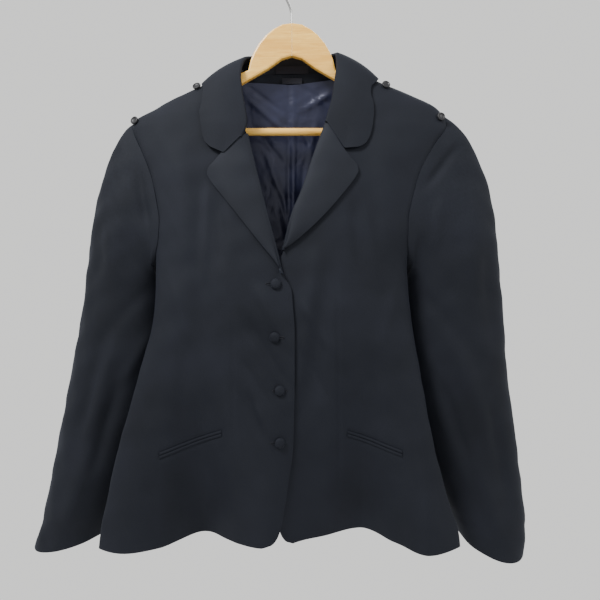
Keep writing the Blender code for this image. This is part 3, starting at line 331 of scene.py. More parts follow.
FRONT_CREASES = table(
    Fold,
    (-0.082, -0.535, -0.083, -0.725, 0.0022, -0.0012),
    (0.064, -0.494, 0.069, -0.745, 0.0022, -0.0012),
    (-0.058, -0.55, -0.009, -0.618, 0.007, 0.0026),
    (-0.07, -0.575, -0.022, -0.65, 0.007, -0.0022),
    (-0.062, -0.626, -0.041, -0.69, 0.005, -0.0024),
    (-0.052, -0.64, -0.02, -0.69, 0.0055, 0.0018),
    (-0.12, -0.33, -0.124, -0.458, 0.008, 0.0028),
    (-0.104, -0.345, -0.1, -0.44, 0.009, -0.0026),
    (0.016, -0.5, 0.05, -0.56, 0.007, 0.0022),
    (0.012, -0.56, 0.056, -0.64, 0.007, -0.002),
    (0.104, -0.35, 0.122, -0.47, 0.009, 0.0028),
    (0.088, -0.36, 0.096, -0.45, 0.009, -0.0024),
    (0.15, -0.47, 0.128, -0.56, 0.009, 0.0016),
    (-0.17, -0.47, -0.14, -0.56, 0.009, 0.0016),
    (-0.15, -0.56, -0.158, -0.68, 0.01, -0.0014),
    (0.118, -0.57, 0.126, -0.68, 0.01, -0.0014),
)


def ease(share):
    """0 to 1 with soft ends."""
    share = np.clip(share, 0.0, 1.0)
    return share * share * (3.0 - 2.0 * share)


class Curve:
    """One column of a table over another, as a smooth curve that doesn't overshoot."""

    def __init__(self, keys, values):
        order = np.argsort(keys)
        self.keys = np.array(keys, float)[order]
        self.values = np.array(values, float)[order]
        rises = np.diff(self.values) / np.diff(self.keys)
        self.slopes = np.zeros(len(self.keys))
        for i in range(1, len(self.slopes) - 1):
            if rises[i - 1] * rises[i] > 0:
                self.slopes[i] = 2.0 / (1.0 / rises[i - 1] + 1.0 / rises[i])
        self.slopes[0] = rises[0]
        self.slopes[-1] = rises[-1]

    def at(self, key):
        key = np.clip(key, self.keys[0], self.keys[-1])
        i = np.searchsorted(self.keys, key, side="right") - 1
        i = np.clip(i, 0, len(self.keys) - 2)
        step = self.keys[i + 1] - self.keys[i]
        t = (key - self.keys[i]) / step
        before = (1 + 2 * t) * (1 - t) ** 2 * self.values[i]
        after = t * t * (3 - 2 * t) * self.values[i + 1]
        bend = t * (1 - t) ** 2 * self.slopes[i] - t * t * (1 - t) * self.slopes[i + 1]
        return before + after + step * bend


def curves_of(rows, key=None):
    """A curve for each column of a table, over its first column or over the row numbers."""
    columns = dict(zip(rows[0]._fields, zip(*rows)))
    keys = columns.pop(key, range(len(rows)))
    return {name: Curve(keys, values) for name, values in columns.items()}


BODY = curves_of(BODY_RINGS, "z")
HOLE = curves_of(ARMHOLE, "share")
FRONT_WAVE = curves_of(FRONT_FLUTES, "x")
BACK_WAVE = curves_of(BACK_FLUTES, "x")
EDGES = {
    -1: curves_of(RIGHT_FRONT_EDGE, "z")["x"],
    1: curves_of(LEFT_FRONT_EDGE, "z")["x"],
}


def fade(place, start, width):
    """0 up to a start, and 1 past the width that follows it."""
    return ease((place - start) / width)


def fold_height(folds, x, z):
    """How far the folds lift the surface at places seen from the front."""
    height = np.zeros(np.broadcast(x, z).shape)
    for fold in folds:
        along = (fold.top_z - z) / (fold.top_z - fold.low_z)
        across = (x - fold.top_x - (fold.low_x - fold.top_x) * along) / fold.width
        ends = ease((along + FOLD_OVERRUN) / FOLD_FADE)
        ends = ends * ease((1 + FOLD_OVERRUN - along) / FOLD_FADE)
        height += fold.height * ends * np.exp(-across * across)
    return height


def reach(x, z):
    """How far the body reaches sideways, on the side that x is on."""
    return np.where(np.asarray(x) < 0, BODY["reach_right"].at(z), BODY["reach_left"].at(z))


def body_points(around, z):
    """Points of the body's outer surface."""
    around, z = np.broadcast_arrays(np.asarray(around, float), np.asarray(z, float))
    sign = np.where(around < 0, -1.0, 1.0)
    place = np.abs(around)
    in_front = place <= 1
    turn = math.pi / 2 * np.where(in_front, place, np.maximum(2 - place, 0)) ** RING_SPREAD
    side = np.sin(turn) ** (2 / RING_POWER)
    depth = np.maximum(np.cos(turn), 0.0) ** (2 / RING_POWER)
    side_y = BODY["widest_y"].at(z)
    slant = np.where(in_front, 0.0, BODY["slant"].at(z))
    far_y = np.where(in_front, -BODY["front"].at(z), BODY["back"].at(z))
    x = sign * (reach(around, z) - slant * depth) * side
    y = side_y + (far_y - side_y) * depth
    level = np.clip((FLUTE_TOP_Z - z) / (FLUTE_TOP_Z - HEM_Z), 0.0, FLUTE_LIMIT) ** FLUTE_POWER
    front_share = 1 - fade(place, *FRONT_FLUTES_END)
    back_share = fade(place, *BACK_FLUTES_START)
    y = y - front_share * level * FRONT_WAVE["forward"].at(x)
    y = y - (1 - fade(place, *FRONT_FOLDS_END)) * fold_height(FRONT_FOLDS, x, z)
    y = y + back_share * (level * BACK_WAVE["forward"].at(x) + fold_height(BACK_FOLDS, x, z))
    return np.stack([x, y, z], axis=-1)


def body_normals(around, z):
    """The directions out of the body's surface."""
    around = np.asarray(around, float)
    across = body_points(around + SLOPE_TURN, z) - body_points(around - SLOPE_TURN, z)
    upward = body_points(around, z + SLOPE_FALL) - body_points(around, z - SLOPE_FALL)
    normals = np.cross(across, upward)
    normals[..., 0] = np.where(np.abs(around) > 2 - SLOPE_TURN, 0.0, normals[..., 0])
    return normals / np.linalg.norm(normals, axis=-1, keepdims=True)


def around_of(x, z):
    """The places around the ring of front points that are seen at x."""
    x = np.asarray(x, float)
    share = np.minimum(np.abs(x) / reach(x, z), 1.0)
    turned = np.arcsin(share ** (RING_POWER / 2)) / (math.pi / 2)
    return np.where(x < 0, -1.0, 1.0) * turned ** (1 / RING_SPREAD)


def ripple(points, size, height):
    """A slight unevenness of cloth: a few crossing waves of unlike lengths."""
    x, y, z = np.moveaxis(points, -1, 0) / size
    waves = np.sin(1.3 * x + 2.1 * z + 0.7) * np.sin(0.9 * z - 1.7 * x + 4.0 * y)
    waves += 0.6 * np.sin(2.9 * x - 1.1 * z + 2.0) * np.cos(2.3 * z + 1.9 * y)
    waves += 0.4 * np.sin(4.7 * z + 3.1 * x + 1.0) * np.cos(3.7 * x - 2.6 * y)
    return height * waves


def under_lap(x, z):
    """How far the left front lies inside the right one that laps over it."""
    return LAP_DEPTH * (1 - ease((x - LAP_X) / LAP_FADE_X)) * ease((LAP_TOP_Z - z) / LAP_FADE_Z)


Place = namedtuple("Place", "x z")
FRONT_BUTTONS = table(
    Place,
    (-0.0218, -0.4709), (-0.0233, -0.5457), (-0.0162, -0.6204), (-0.0162, -0.6937),
)
Pocket = namedtuple("Pocket", "inner_x inner_z outer_x outer_z")
POCKETS = {
    -1: Pocket(-0.0994, -0.6824, -0.1854, -0.7120),
    1: Pocket(0.0797, -0.6839, 0.1560, -0.7105),
}
POCKET_BED = 0.0012
POCKET_BED_HALF = 0.0064
POCKET_BED_END = 0.03
POCKET_BED_FADE = 0.04
BUTTON_DIMPLE = 0.0011
BUTTON_DIMPLE_WIDTH = 0.013


def front_surface(sign, around, z):
    """Points and directions of a front's outer face, with its creases."""
    points = body_points(around, z)
    normals = body_normals(around, z)
    x = points[..., 0]
    out = fold_height(FRONT_CREASES, x, z) + ripple(points, *FRONT_RIPPLE)
    if sign > 0:
        out = out - under_lap(x, z)
    for button in FRONT_BUTTONS if sign < 0 else ():
        away = ((x - button.x) ** 2 + (z - button.z) ** 2) / BUTTON_DIMPLE_WIDTH**2
        out = out - BUTTON_DIMPLE * np.exp(-away)
    return points + normals * out[..., None], normals


def pocket_bed(sign, x, z):
    """How far a front is drawn in under its pocket's welts."""
    pocket = POCKETS[sign]
    along = (x - pocket.inner_x) / (pocket.outer_x - pocket.inner_x)
    across = (z - pocket.inner_z - (pocket.outer_z - pocket.inner_z) * along) / POCKET_BED_HALF
    ends = ease((along + POCKET_BED_END) / POCKET_BED_FADE)
    ends = ends * ease((1 + POCKET_BED_END - along) / POCKET_BED_FADE)
    return POCKET_BED * ends * np.exp(-(across**4))


def panel_rows():
    """Row places: 0 at the shoulder, 1 at the underarm and 2 at the hem."""
    upper = np.linspace(0, 1, UPPER_ROWS + 1)
    return np.concatenate([upper, 1 + np.linspace(0, 1, SKIRT_ROWS + 1)[1:]])


def side_places(sign, face, row):
    """The panel's outer boundary from shoulder point to hem, as (around, z)."""
    step = np.clip(row, 0, 1)
    skirt = np.clip(row - 1, 0, 1)
    soft = (1 - np.cos(math.pi * step)) / 2
    share = ARMHOLE_SOFTNESS * soft + (1 - ARMHOLE_SOFTNESS) * step
    top = SHOULDER_POINT_Z[sign]
    drops = [wave["drop"].at(sign * SIDE_SEAM_X) for wave in (FRONT_WAVE, BACK_WAVE)]
    low = HEM_Z - sum(drops) / 2
    z = top + (UNDERARM_Z - top) * share + (low - UNDERARM_Z) * skirt
    return sign * HOLE[face].at(share), z


def front_edge_places(sign, row):
    """The inner boundary of a front: roll line, buttoned edge and rounded corner."""
    step = np.clip(row, 0, 1)
    skirt = np.clip(row - 1, 0, 1)
    quarter = math.pi / 2 * CORNER_SPREAD
    start, end = NECK_POINT_Z[sign], BREAK_Z
    z = start + (end - start) * step
    z = z + (EDGES[sign].keys[0] - end) * np.sin(quarter * skirt) / math.sin(quarter)
    x = EDGES[sign].at(z) + sign * ROLL_RADIUS * ease((z - end) / ROLL_FADE)
    return around_of(x, z), z


def hem_drop(around):
    """How far the hem dips below HEM_Z at places around."""
    x = body_points(around, HEM_Z)[..., 0]
    in_front = np.abs(around) < 1 + (SIDE_SEAM_AROUND - 1) / 2
    return np.where(in_front, FRONT_WAVE["drop"].at(x), BACK_WAVE["drop"].at(x))


def hem_share(row, u):
    """How much of the hem's dips a row takes, at a share u across the panel."""
    return np.clip(row - 1, 0, 1) ** 2 * np.sqrt(np.maximum(np.sin(math.pi * u), 0.0))


def front_grid(sign):
    """(around, z) from the armhole and side seam to the front edge."""
    row = panel_rows()[:, None]
    u = np.linspace(0, 1, FRONT_COLUMNS + 1)[None, :]
    side_around, side_z = side_places(sign, "front", row)
    edge_around, edge_z = front_edge_places(sign, row)
    around = side_around * (1 - u) + edge_around * u
    z = side_z * (1 - u) + edge_z * u
    last = side_z[-1] * (1 - u) + edge_z[-1] * u
    return around, z + hem_share(row, u) * (HEM_Z - hem_drop(around) - last)


def grid_normals(points):
    """Unit normals of a grid of points, from its neighbours."""
    normals = np.cross(np.gradient(points, axis=1), np.gradient(points, axis=0))
    return normals / np.linalg.norm(normals, axis=-1, keepdims=True)


def tube_normals(points):
    """Unit normals of a grid whose last column repeats its first."""
    wrapped = np.concatenate([points[:, -2:-1], points, points[:, 1:2]], axis=1)
    return grid_normals(wrapped)[:, 1:-1]


def distance_from(points, axis, end):
    """How far each point of a grid is along the cloth from one end of its row or column."""
    moved = np.moveaxis(points, axis, 0)
    if end:
        moved = moved[::-1]
    steps = np.linalg.norm(np.diff(moved, axis=0), axis=-1)
    far = np.concatenate([np.zeros((1, steps.shape[1])), np.cumsum(steps, axis=0)])
    if end:
        far = far[::-1]
    return np.moveaxis(far, 0, axis)


def sink(points, normals, axis, end, depth, width):
    """Draws the cloth in along one side of a grid, as a seam or a pressed edge does."""
    far = distance_from(points, axis, end) / width
    return points - normals * (depth * np.exp(-far * far))[..., None]


def cloth(name, outer, outwards, wall, material, tube=False):
    """A closed wall of cloth whose outer face is a grid of points.

    outwards is the direction out of the grid's middle. Its UV map is in metres along the cloth,
    and a tube's last column repeats its first.
    """
    rows, columns, _ = outer.shape
    normals = tube_normals(outer) if tube else grid_normals(outer)
    if normals[rows // 2, columns // 2] @ np.asarray(outwards, float) < 0:
        outer = outer[:, ::-1]
        normals = -normals[:, ::-1]
    inner = outer - normals * wall
    middle = columns // 2
    across = distance_from(outer, 1, False)
    across = across - across[:, middle : middle + 1]
    along = np.repeat(distance_from(outer, 0, False)[:, middle : middle + 1], columns, axis=1)
    flat = np.stack([across, along], axis=-1).reshape(-1, 2)
    wall_builder = bmesh.new()
    bmesh.ops.create_grid(
        wall_builder, x_segments=columns - 1, y_segments=rows - 1, size=0.5, calc_uvs=True
    )
    place = wall_builder.verts.layers.int.new("place")
    for vert in wall_builder.verts:
        column = round((vert.co.x + 0.5) * (columns - 1))
        row = round((vert.co.y + 0.5) * (rows - 1))
        vert[place] = row * columns + column
        vert.co = outer[row, column]
    uv = wall_builder.loops.layers.uv.verify()
    for face in wall_builder.faces:
        for loop in face.loops:
            loop[uv].uv = flat[loop.vert[place]]
    if tube:
        bmesh.ops.remove_doubles(wall_builder, verts=wall_builder.verts[:], dist=1e-7)
    extruded = bmesh.ops.extrude_face_region(wall_builder, geom=wall_builder.faces[:])
    inner = inner.reshape(-1, 3)
    for part in extruded["geom"]:
        if isinstance(part, bmesh.types.BMVert):
            part.co = inner[part[place]]
    wall_builder.normal_update()
    bmesh.ops.recalc_face_normals(wall_builder, faces=wall_builder.faces[:])
    mesh = bpy.data.meshes.new(name)
    wall_builder.to_mesh(mesh)
    wall_builder.free()
    mesh.attributes.remove(mesh.attributes["place"])
    mesh.shade_smooth()
    mesh.set_sharp_from_angle(angle=SHARP_ANGLE)
    mesh.materials.append(material)
    return link(bpy.data.objects.new(name, mesh))


WOOL_DARK = (0.0012, 0.0016, 0.0034, 1)
WOOL_LIGHT = (0.0052, 0.0060, 0.0100, 1)
WOOL_SHEEN = (0.42, 0.55, 0.90, 1)
WOOL_GLANCE = (0.84, 0.89, 1.0, 1)
WEAVE_SCALE = 330.0


def bands(tree, vector, scale, distortion, direction, **more):
    """The value of a pattern of straight bands, as threads lie."""
    inputs = {"Vector": vector, "Scale": scale, "Distortion": distortion, **more}
    wave = add_node(
        tree, "ShaderNodeTexWave", inputs, wave_type="BANDS", bands_direction=direction
    )
    return wave.outputs["Fac"]


def wool_cloth(name, shift, roughness, bloom):
    """Plain-woven navy wool: crossing threads, flecks of lighter fibre and a faint bloom."""
    material, tree, shader = new_material(
        name, roughness, Sheen_Weight=bloom, Sheen_Roughness=0.40, Sheen_Tint=WOOL_SHEEN,
        Specular_IOR_Level=0.27, Specular_Tint=WOOL_GLANCE,
    )
    flat = add_node(tree, "ShaderNodeUVMap").outputs["UV"]
    place = add_node(tree, "ShaderNodeTexCoord").outputs["Object"]
    moved = add_node(tree, "ShaderNodeMapping", {"Vector": place, "Location": shift})
    cloud = noise(tree, moved.outputs["Vector"], scale=9.0, detail=4.0, Roughness=0.55)
    fleck = noise(tree, flat, scale=620.0, detail=2.0, Roughness=0.7)
    blend = add_node(tree, "ShaderNodeMath", {0: cloud, 1: fleck}, operation="ADD").outputs[0]
    mean = add_node(tree, "ShaderNodeMath", {0: blend, 1: 0.5}, operation="MULTIPLY").outputs[0]
    tint(tree, shader, mean, WOOL_DARK, WOOL_LIGHT, low=0.38, high=0.64)
    threads = [
        bands(tree, flat, WEAVE_SCALE, distortion=0.6, direction=direction, Detail=1.0)
        for direction in "XY"
    ]
    weave = add_node(tree, "ShaderNodeMath", {0: threads[0], 1: threads[1]}, operation="MULTIPLY")
    emboss(tree, shader, weave.outputs[0], strength=0.45, distance=0.00012)
    return material


wool = wool_cloth("navy_wool", (0.0, 0.0, 0.0), roughness=0.78, bloom=0.035)


def wear(piece, node):
    """Fixes a cloth piece to the body in place of its solid."""
    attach(piece, "root")
    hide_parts(node)


for sign, side in SIDES:
    around, z = front_grid(sign)
    points, normals = front_surface(sign, around, z)
    points = points - normals * pocket_bed(sign, points[..., 0], z)[..., None]
    points = sink(points, normals, 1, False, SEAM_SINK, SEAM_WIDTH)
    points = sink(points, normals, 0, False, SEAM_SINK, SEAM_WIDTH)
    points = sink(points, normals, 1, True, EDGE_SINK, EDGE_WIDTH)
    out_at_middle = normals[(UPPER_ROWS + SKIRT_ROWS) // 2, FRONT_COLUMNS // 2]
    piece = cloth(f"front_cloth_{side}", points, out_at_middle, WALL, wool)
    wear(piece, f"front_{side}")


# The back is two panels of the same wool, joined by the centre-back seam and sewn to the fronts
# at shoulders and sides. It falls in soft flutes to the hem.
BACK_NECK_Z = -0.149
BACK_COLUMNS = 80
BACK_RIPPLE = (0.034, 0.0006)
BACK_CREASES_START = (1.0, 0.3)
HALVINGS = 28
SHOULDER_SHARE = 0.6
BACK_CREASES = table(
    Fold,
    (-0.02, -0.2, -0.09, -0.3, 0.012, 0.0018),
    (0.025, -0.205, 0.095, -0.31, 0.012, 0.0018),
    (-0.01, -0.44, -0.06, -0.52, 0.01, -0.0014),
    (0.015, -0.47, 0.07, -0.54, 0.01, -0.0014),
    (-0.15, -0.56, -0.12, -0.66, 0.01, 0.0014),
    (0.13, -0.58, 0.105, -0.69, 0.01, 0.0014),
)


def back_around_of(x, z):
    """The places around the ring of back points at x, found by halving."""
    sign = np.where(x < 0, -1.0, 1.0)
    near = np.ones(np.broadcast(x, z).shape)
    far = near * 2
    for _ in range(HALVINGS):
        middle = (near + far) / 2
        beyond = np.abs(body_points(sign * middle, z)[..., 0]) > np.abs(x)
        near = np.where(beyond, middle, near)
        far = np.where(beyond, far, middle)
    return sign * near


def back_grid(sign):
    """(around, z) from the armhole and side seam to the centre-back seam."""
    row = panel_rows()[:, None]
    shares = np.linspace(0, 1, BACK_COLUMNS + 1)[None, :]
    stations = [0, SHOULDER_SHARE, 1]
    top_around = np.interp(shares, stations, [1, 1, 2]) * sign
    top_z = np.interp(shares, stations, [SHOULDER_POINT_Z[sign], NECK_POINT_Z[sign], BACK_NECK_Z])
    top_x = np.abs(body_points(top_around, top_z)[..., 0])
    start = 1 - top_x / top_x[:, :1]
    step = ease(np.clip(row, 0, 1))
    u = start + (shares - start) * step
    side_around, side_z = side_places(sign, "back", row)
    low = HEM_Z - BACK_WAVE["drop"].at(0.0)
    centre_z = BACK_NECK_Z + (BREAK_Z - BACK_NECK_Z) * np.clip(row, 0, 1)
    centre_z = centre_z + (low - BREAK_Z) * np.clip(row - 1, 0, 1)
    z = side_z * (1 - u) + centre_z * u
    straight = side_z[0] * (1 - start) + centre_z[0] * start
    z = z + (top_z - straight) * (1 - step)
    side_x = np.abs(body_points(side_around, side_z)[..., 0])
    around = back_around_of(sign * np.maximum(side_x * (1 - u), 1e-6), z)
    around[0] = top_around[0]
    around[:, 0] = side_around[:, 0]
    around[:, -1] = 2 * sign
    last = side_z[-1] * (1 - u) + centre_z[-1] * u
    return around, z + hem_share(row, u) * (HEM_Z - hem_drop(around) - last)


for sign, side in SIDES:
    around, z = back_grid(sign)
    points = body_points(around, z)
    normals = body_normals(around, z)
    out = fold_height(BACK_CREASES, points[..., 0], z) + ripple(points, *BACK_RIPPLE)
    points = points + normals * (out * fade(np.abs(around), *BACK_CREASES_START))[..., None]
    for axis, end in ((1, False), (1, True), (0, False)):
        points = sink(points, normals, axis, end, SEAM_SINK, SEAM_WIDTH)
    out_at_middle = normals[(UPPER_ROWS + SKIRT_ROWS) // 2, BACK_COLUMNS // 2]
    piece = cloth(f"back_cloth_{side}", points, out_at_middle, WALL, wool)
    wear(piece, f"back_{side}")


# The back is lined with navy satin, cut a little full, with a pleat down the centre back. It
# lies loose inside the wool and is sewn in round its edges.
LINING_WALL = 0.0010
LINING_GAP = 0.0013
LINING_FULLNESS = 0.0026
LINING_TOP_ROW = 4
LINING_LOW_ROW = 168
LINING_FIRST_COLUMN = 10
LINING_RIPPLE = (0.018, 0.0003)
SATIN_DARK = (0.005, 0.006, 0.017, 1)
SATIN_LIGHT = (0.012, 0.014, 0.036, 1)
SATIN_GLANCE = (0.80, 0.82, 1.0, 1)
LINING_CREASES = table(
    Fold,
    (-0.07, -0.165, -0.015, -0.205, 0.006, 0.0022),
    (-0.062, -0.19, -0.01, -0.235, 0.006, -0.0022),
    (0.01, -0.165, 0.058, -0.195, 0.006, 0.0022),
    (0.012, -0.205, 0.055, -0.18, 0.007, -0.0024),
    (-0.052, -0.235, -0.008, -0.29, 0.006, 0.002),
    (0.008, -0.235, 0.048, -0.27, 0.006, 0.002),
    (0.002, -0.15, 0.002, -0.48, 0.0025, -0.0018),
    (-0.006, -0.16, -0.006, -0.47, 0.0035, 0.0014),
    (-0.038, -0.27, -0.012, -0.35, 0.006, -0.002),
    (0.026, -0.26, 0.01, -0.35, 0.006, 0.002),
    (0.036, -0.225, 0.018, -0.31, 0.005, -0.0018),
    (-0.022, -0.32, -0.006, -0.4, 0.005, 0.0018),
    (0.018, -0.33, 0.008, -0.41, 0.004, -0.0016),
)

satin, satin_tree, satin_shader = new_material(
    "lining_satin", 0.36, Specular_IOR_Level=0.5, Specular_Tint=SATIN_GLANCE
)
satin_flat = add_node(satin_tree, "ShaderNodeUVMap").outputs["UV"]
satin_place = add_node(satin_tree, "ShaderNodeTexCoord").outputs["Object"]
satin_cloud = noise(satin_tree, satin_place, scale=22.0, detail=5.0, Roughness=0.6, Distortion=0.8)
tint(satin_tree, satin_shader, satin_cloud, SATIN_DARK, SATIN_LIGHT, low=0.3, high=0.7)
satin_threads = bands(satin_tree, satin_flat, scale=500.0, distortion=1.0, direction="X")
satin_fine = add_node(satin_tree, "ShaderNodeBump", {
    "Height": satin_threads, "Strength": 0.2, "Distance": 0.00005,
})
satin_soft = noise(satin_tree, satin_place, scale=30.0, detail=1.5, Distortion=0.8)
emboss(satin_tree, satin_shader, satin_soft, strength=0.8, distance=0.0030,
       Normal=satin_fine.outputs["Normal"])

halves = []
for sign in (-1, 1):
    around, z = back_grid(sign)
    points = body_points(around, z)
    normals = body_normals(around, z)
    out = fold_height(LINING_CREASES, points[..., 0], z) + ripple(points, *LINING_RIPPLE)
    out = out - WALL - LINING_GAP - LINING_FULLNESS
    points = points + normals * out[..., None]
    halves.append(points[LINING_TOP_ROW:LINING_LOW_ROW, LINING_FIRST_COLUMN:])
points = np.concatenate([halves[0], halves[1][:, ::-1][:, 1:]], axis=1)
lining = cloth("lining_satin", points, (0, 1, 0), LINING_WALL, satin)
wear(lining, "back_lining")


# The sleeves are cut from the same wool, set into the armholes with a little fullness at the
# crown, and hemmed at the cuff.
SLEEVE_RINGS = 104
SLEEVE_TURNS = 48
SLEEVE_SPREAD = 0.8
SleeveRow = namedtuple(
    "SleeveRow", "outer_x outer_z inner_x inner_z centre_y half_depth share"
)
RIGHT_SLEEVE = table(
    SleeveRow,
    (0.2518, -0.2433, 0.1915, -0.451, -0.006, 0.034, 0.8),
    (0.2698, -0.2784, 0.193, -0.457, 0.0, 0.04, 0.5),
    (0.29, -0.335, 0.1935, -0.467, 0.007, 0.045, 0.22),
    (0.3044, -0.4049, 0.1905, -0.487, 0.013, 0.049, 0.05),
    (0.3166, -0.4966, 0.184, -0.535, 0.018, 0.05, 0.0),
    (0.3365, -0.6066, 0.203, -0.625, 0.02, 0.047, 0.0),
    (0.3579, -0.7167, 0.234, -0.715, 0.021, 0.044, 0.0),
    (0.3793, -0.8267, 0.266, -0.8, 0.018, 0.04, 0.0),
    (0.3905, -0.866, 0.277, -0.836, 0.016, 0.038, 0.0),
)
LEFT_SLEEVE = table(
    SleeveRow,
    (0.25, -0.236, 0.1635, -0.451, -0.006, 0.034, 0.8),
    (0.272, -0.27, 0.165, -0.457, 0.0, 0.04, 0.5),
    (0.2967, -0.3321, 0.1655, -0.467, 0.007, 0.046, 0.22),
    (0.3101, -0.4049, 0.164, -0.487, 0.013, 0.051, 0.05),
    (0.319, -0.4966, 0.159, -0.535, 0.018, 0.053, 0.0),
    (0.328, -0.6066, 0.174, -0.625, 0.02, 0.05, 0.0),
    (0.3422, -0.7167, 0.196, -0.715, 0.021, 0.047, 0.0),
    (0.3544, -0.8267, 0.232, -0.8, 0.018, 0.042, 0.0),
    (0.35, -0.872, 0.248, -0.834, 0.016, 0.04, 0.0),
)
SLEEVES = {-1: RIGHT_SLEEVE, 1: LEFT_SLEEVE}
CUFF_FRONT_DROP = {-1: 0.009, 1: 0.022}
CUFF_DROP_SHARE = 0.25
CUFF_HEM = 0.040
CUFF_STITCH_DEPTH = 0.0008
CUFF_STITCH_WIDTH = 0.003
SLEEVE_RIPPLE = (0.026, 0.0007)
CROWN_FADE = 0.03
FACING_SHARPNESS = 1.6
# The creases behind a sleeve are those of its front, shifted and softer.
BEHIND_SHIFT = (0.012, 0.035)
BEHIND_SHARE = 0.8
SEAM_ALLOWANCE = 0.0040
SEAM_GAP = 0.0003
CROWN_DEPTH = (-0.012, 0.030)
SLEEVE_CREASES = {
    -1: table(
        Fold,
        (-0.2765, -0.546, -0.317, -0.702, 0.011, -0.0055),
        (-0.256, -0.62, -0.291, -0.74, 0.01, -0.0045),
        (-0.262, -0.56, -0.3, -0.69, 0.012, 0.004),
        (-0.221, -0.304, -0.206, -0.392, 0.009, -0.004),
        (-0.25, -0.33, -0.262, -0.47, 0.018, 0.004),
        (-0.215, -0.48, -0.285, -0.56, 0.012, -0.002),
        (-0.3, -0.72, -0.335, -0.83, 0.014, 0.004),
        (-0.205, -0.54, -0.245, -0.61, 0.01, 0.003),
        (-0.28, -0.38, -0.292, -0.5, 0.014, -0.003),
    ),
    1: table(
        Fold,
        (0.242, -0.268, 0.194, -0.33, 0.009, -0.004),
        (0.296, -0.66, 0.321, -0.79, 0.012, -0.0055),
        (0.262, -0.34, 0.268, -0.47, 0.018, 0.004),
        (0.2, -0.49, 0.27, -0.58, 0.013, -0.0022),
        (0.24, -0.56, 0.285, -0.69, 0.013, 0.004),
        (0.22, -0.62, 0.262, -0.74, 0.01, -0.004),
        (0.285, -0.43, 0.296, -0.56, 0.014, -0.0035),
        (0.27, -0.73, 0.3, -0.83, 0.013, 0.004),
        (0.215, -0.345, 0.208, -0.42, 0.009, 0.003),
    ),
}


def armhole_loop(sign):
    """The armhole's points: down the front from shoulder to underarm, and up the back."""
    steps = np.linspace(0, 1, SLEEVE_TURNS + 1)
    front_around, front_z = side_places(sign, "front", steps)
    back_around, back_z = side_places(sign, "back", steps)
    around = np.concatenate([front_around, back_around[1:-1][::-1]])
    z = np.concatenate([front_z, back_z[1:-1][::-1]])
    points = body_points(around, z)
    normals = body_normals(around, z)
    tangents = np.roll(points, -1, axis=0) - np.roll(points, 1, axis=0)
    away = np.cross(normals, tangents)
    away /= np.linalg.norm(away, axis=1, keepdims=True)
    away *= np.sign((away * (points.mean(axis=0) - points)).sum(axis=1))[:, None]
    return points, away, normals


def sleeve_rings(sign):
    """Rings that turn from the armhole's own shape to the ovals of arm and cuff."""
    loop, away, out = armhole_loop(sign)
    count = len(loop)
    top, under = loop[0], loop[SLEEVE_TURNS]
    start = SleeveRow(abs(top[0]), top[2], abs(under[0]), under[2], *CROWN_DEPTH, 1.0)
    curves = curves_of([start] + SLEEVES[sign])
    axis = (under - top)[[0, 2]]
    length = np.linalg.norm(axis)
    side_unit = np.array([-axis[1], axis[0]]) / length
    offsets = loop[:, [0, 2]] - top[[0, 2]]
    loop_along = offsets @ axis / length**2
    loop_aside = offsets @ side_unit
    turns = math.pi * np.arange(count) / SLEEVE_TURNS
    share = np.linspace(0, 1, SLEEVE_RINGS + 1)[:, None]
    place = len(SLEEVES[sign]) * (SLEEVE_SPREAD * share + (1 - SLEEVE_SPREAD) * share * share)
    value = {column: curve.at(place) for column, curve in curves.items()}
    kept = value["share"]
    axis_x = sign * (value["inner_x"] - value["outer_x"])
    axis_z = value["inner_z"] - value["outer_z"]
    axis_length = np.hypot(axis_x, axis_z)
    along = kept * loop_along + (1 - kept) * (1 - np.cos(turns)) / 2
    aside = kept * loop_aside
    x = sign * value["outer_x"] + along * axis_x - aside * axis_z / axis_length
    z = value["outer_z"] + along * axis_z + aside * axis_x / axis_length
    depth = value["centre_y"] - value["half_depth"] * np.sin(turns)
    y = kept * loop[:, 1] + (1 - kept) * depth
    near_cuff = np.maximum(0.0, 1 - (1 - share) / CUFF_DROP_SHARE)
    z = z - near_cuff * CUFF_FRONT_DROP[sign] * np.sin(turns)
    rings = np.stack([x, y, z], axis=-1)
    rings[0] = loop + away * SEAM_GAP
    rings = np.concatenate([rings[:1] - out * SEAM_ALLOWANCE, rings])
    return np.concatenate([rings, rings[:, :1]], axis=1)


for sign, side in SIDES:
    rings = sleeve_rings(sign)
    normals = tube_normals(rings)
    centre = rings[:, :-1].mean(axis=1, keepdims=True)
    if ((rings - centre) * normals).sum() < 0:
        normals = -normals
    facing = ease(-normals[..., 1] * FACING_SHARPNESS)
    behind = ease(normals[..., 1] * FACING_SHARPNESS)
    x, z = rings[..., 0], rings[..., 2]
    behind_x, behind_z = x + BEHIND_SHIFT[0] * sign, z + BEHIND_SHIFT[1]
    out = facing * fold_height(SLEEVE_CREASES[sign], x, z)
    out -= behind * fold_height(SLEEVE_CREASES[sign], behind_x, behind_z) * BEHIND_SHARE
    out += ripple(rings, *SLEEVE_RIPPLE)
    out *= ease(distance_from(rings, 0, False) / CROWN_FADE)
    from_hem_line = (distance_from(rings, 0, True) - CUFF_HEM) / CUFF_STITCH_WIDTH
    out -= CUFF_STITCH_DEPTH * np.exp(-(from_hem_line**2))
    points = rings + normals * out[..., None]
    out_at_middle = normals[SLEEVE_RINGS // 2, SLEEVE_TURNS]
    piece = cloth(f"sleeve_cloth_{side}", points, out_at_middle, WALL, wool, tube=True)
    wear(piece, f"sleeve_{side}")
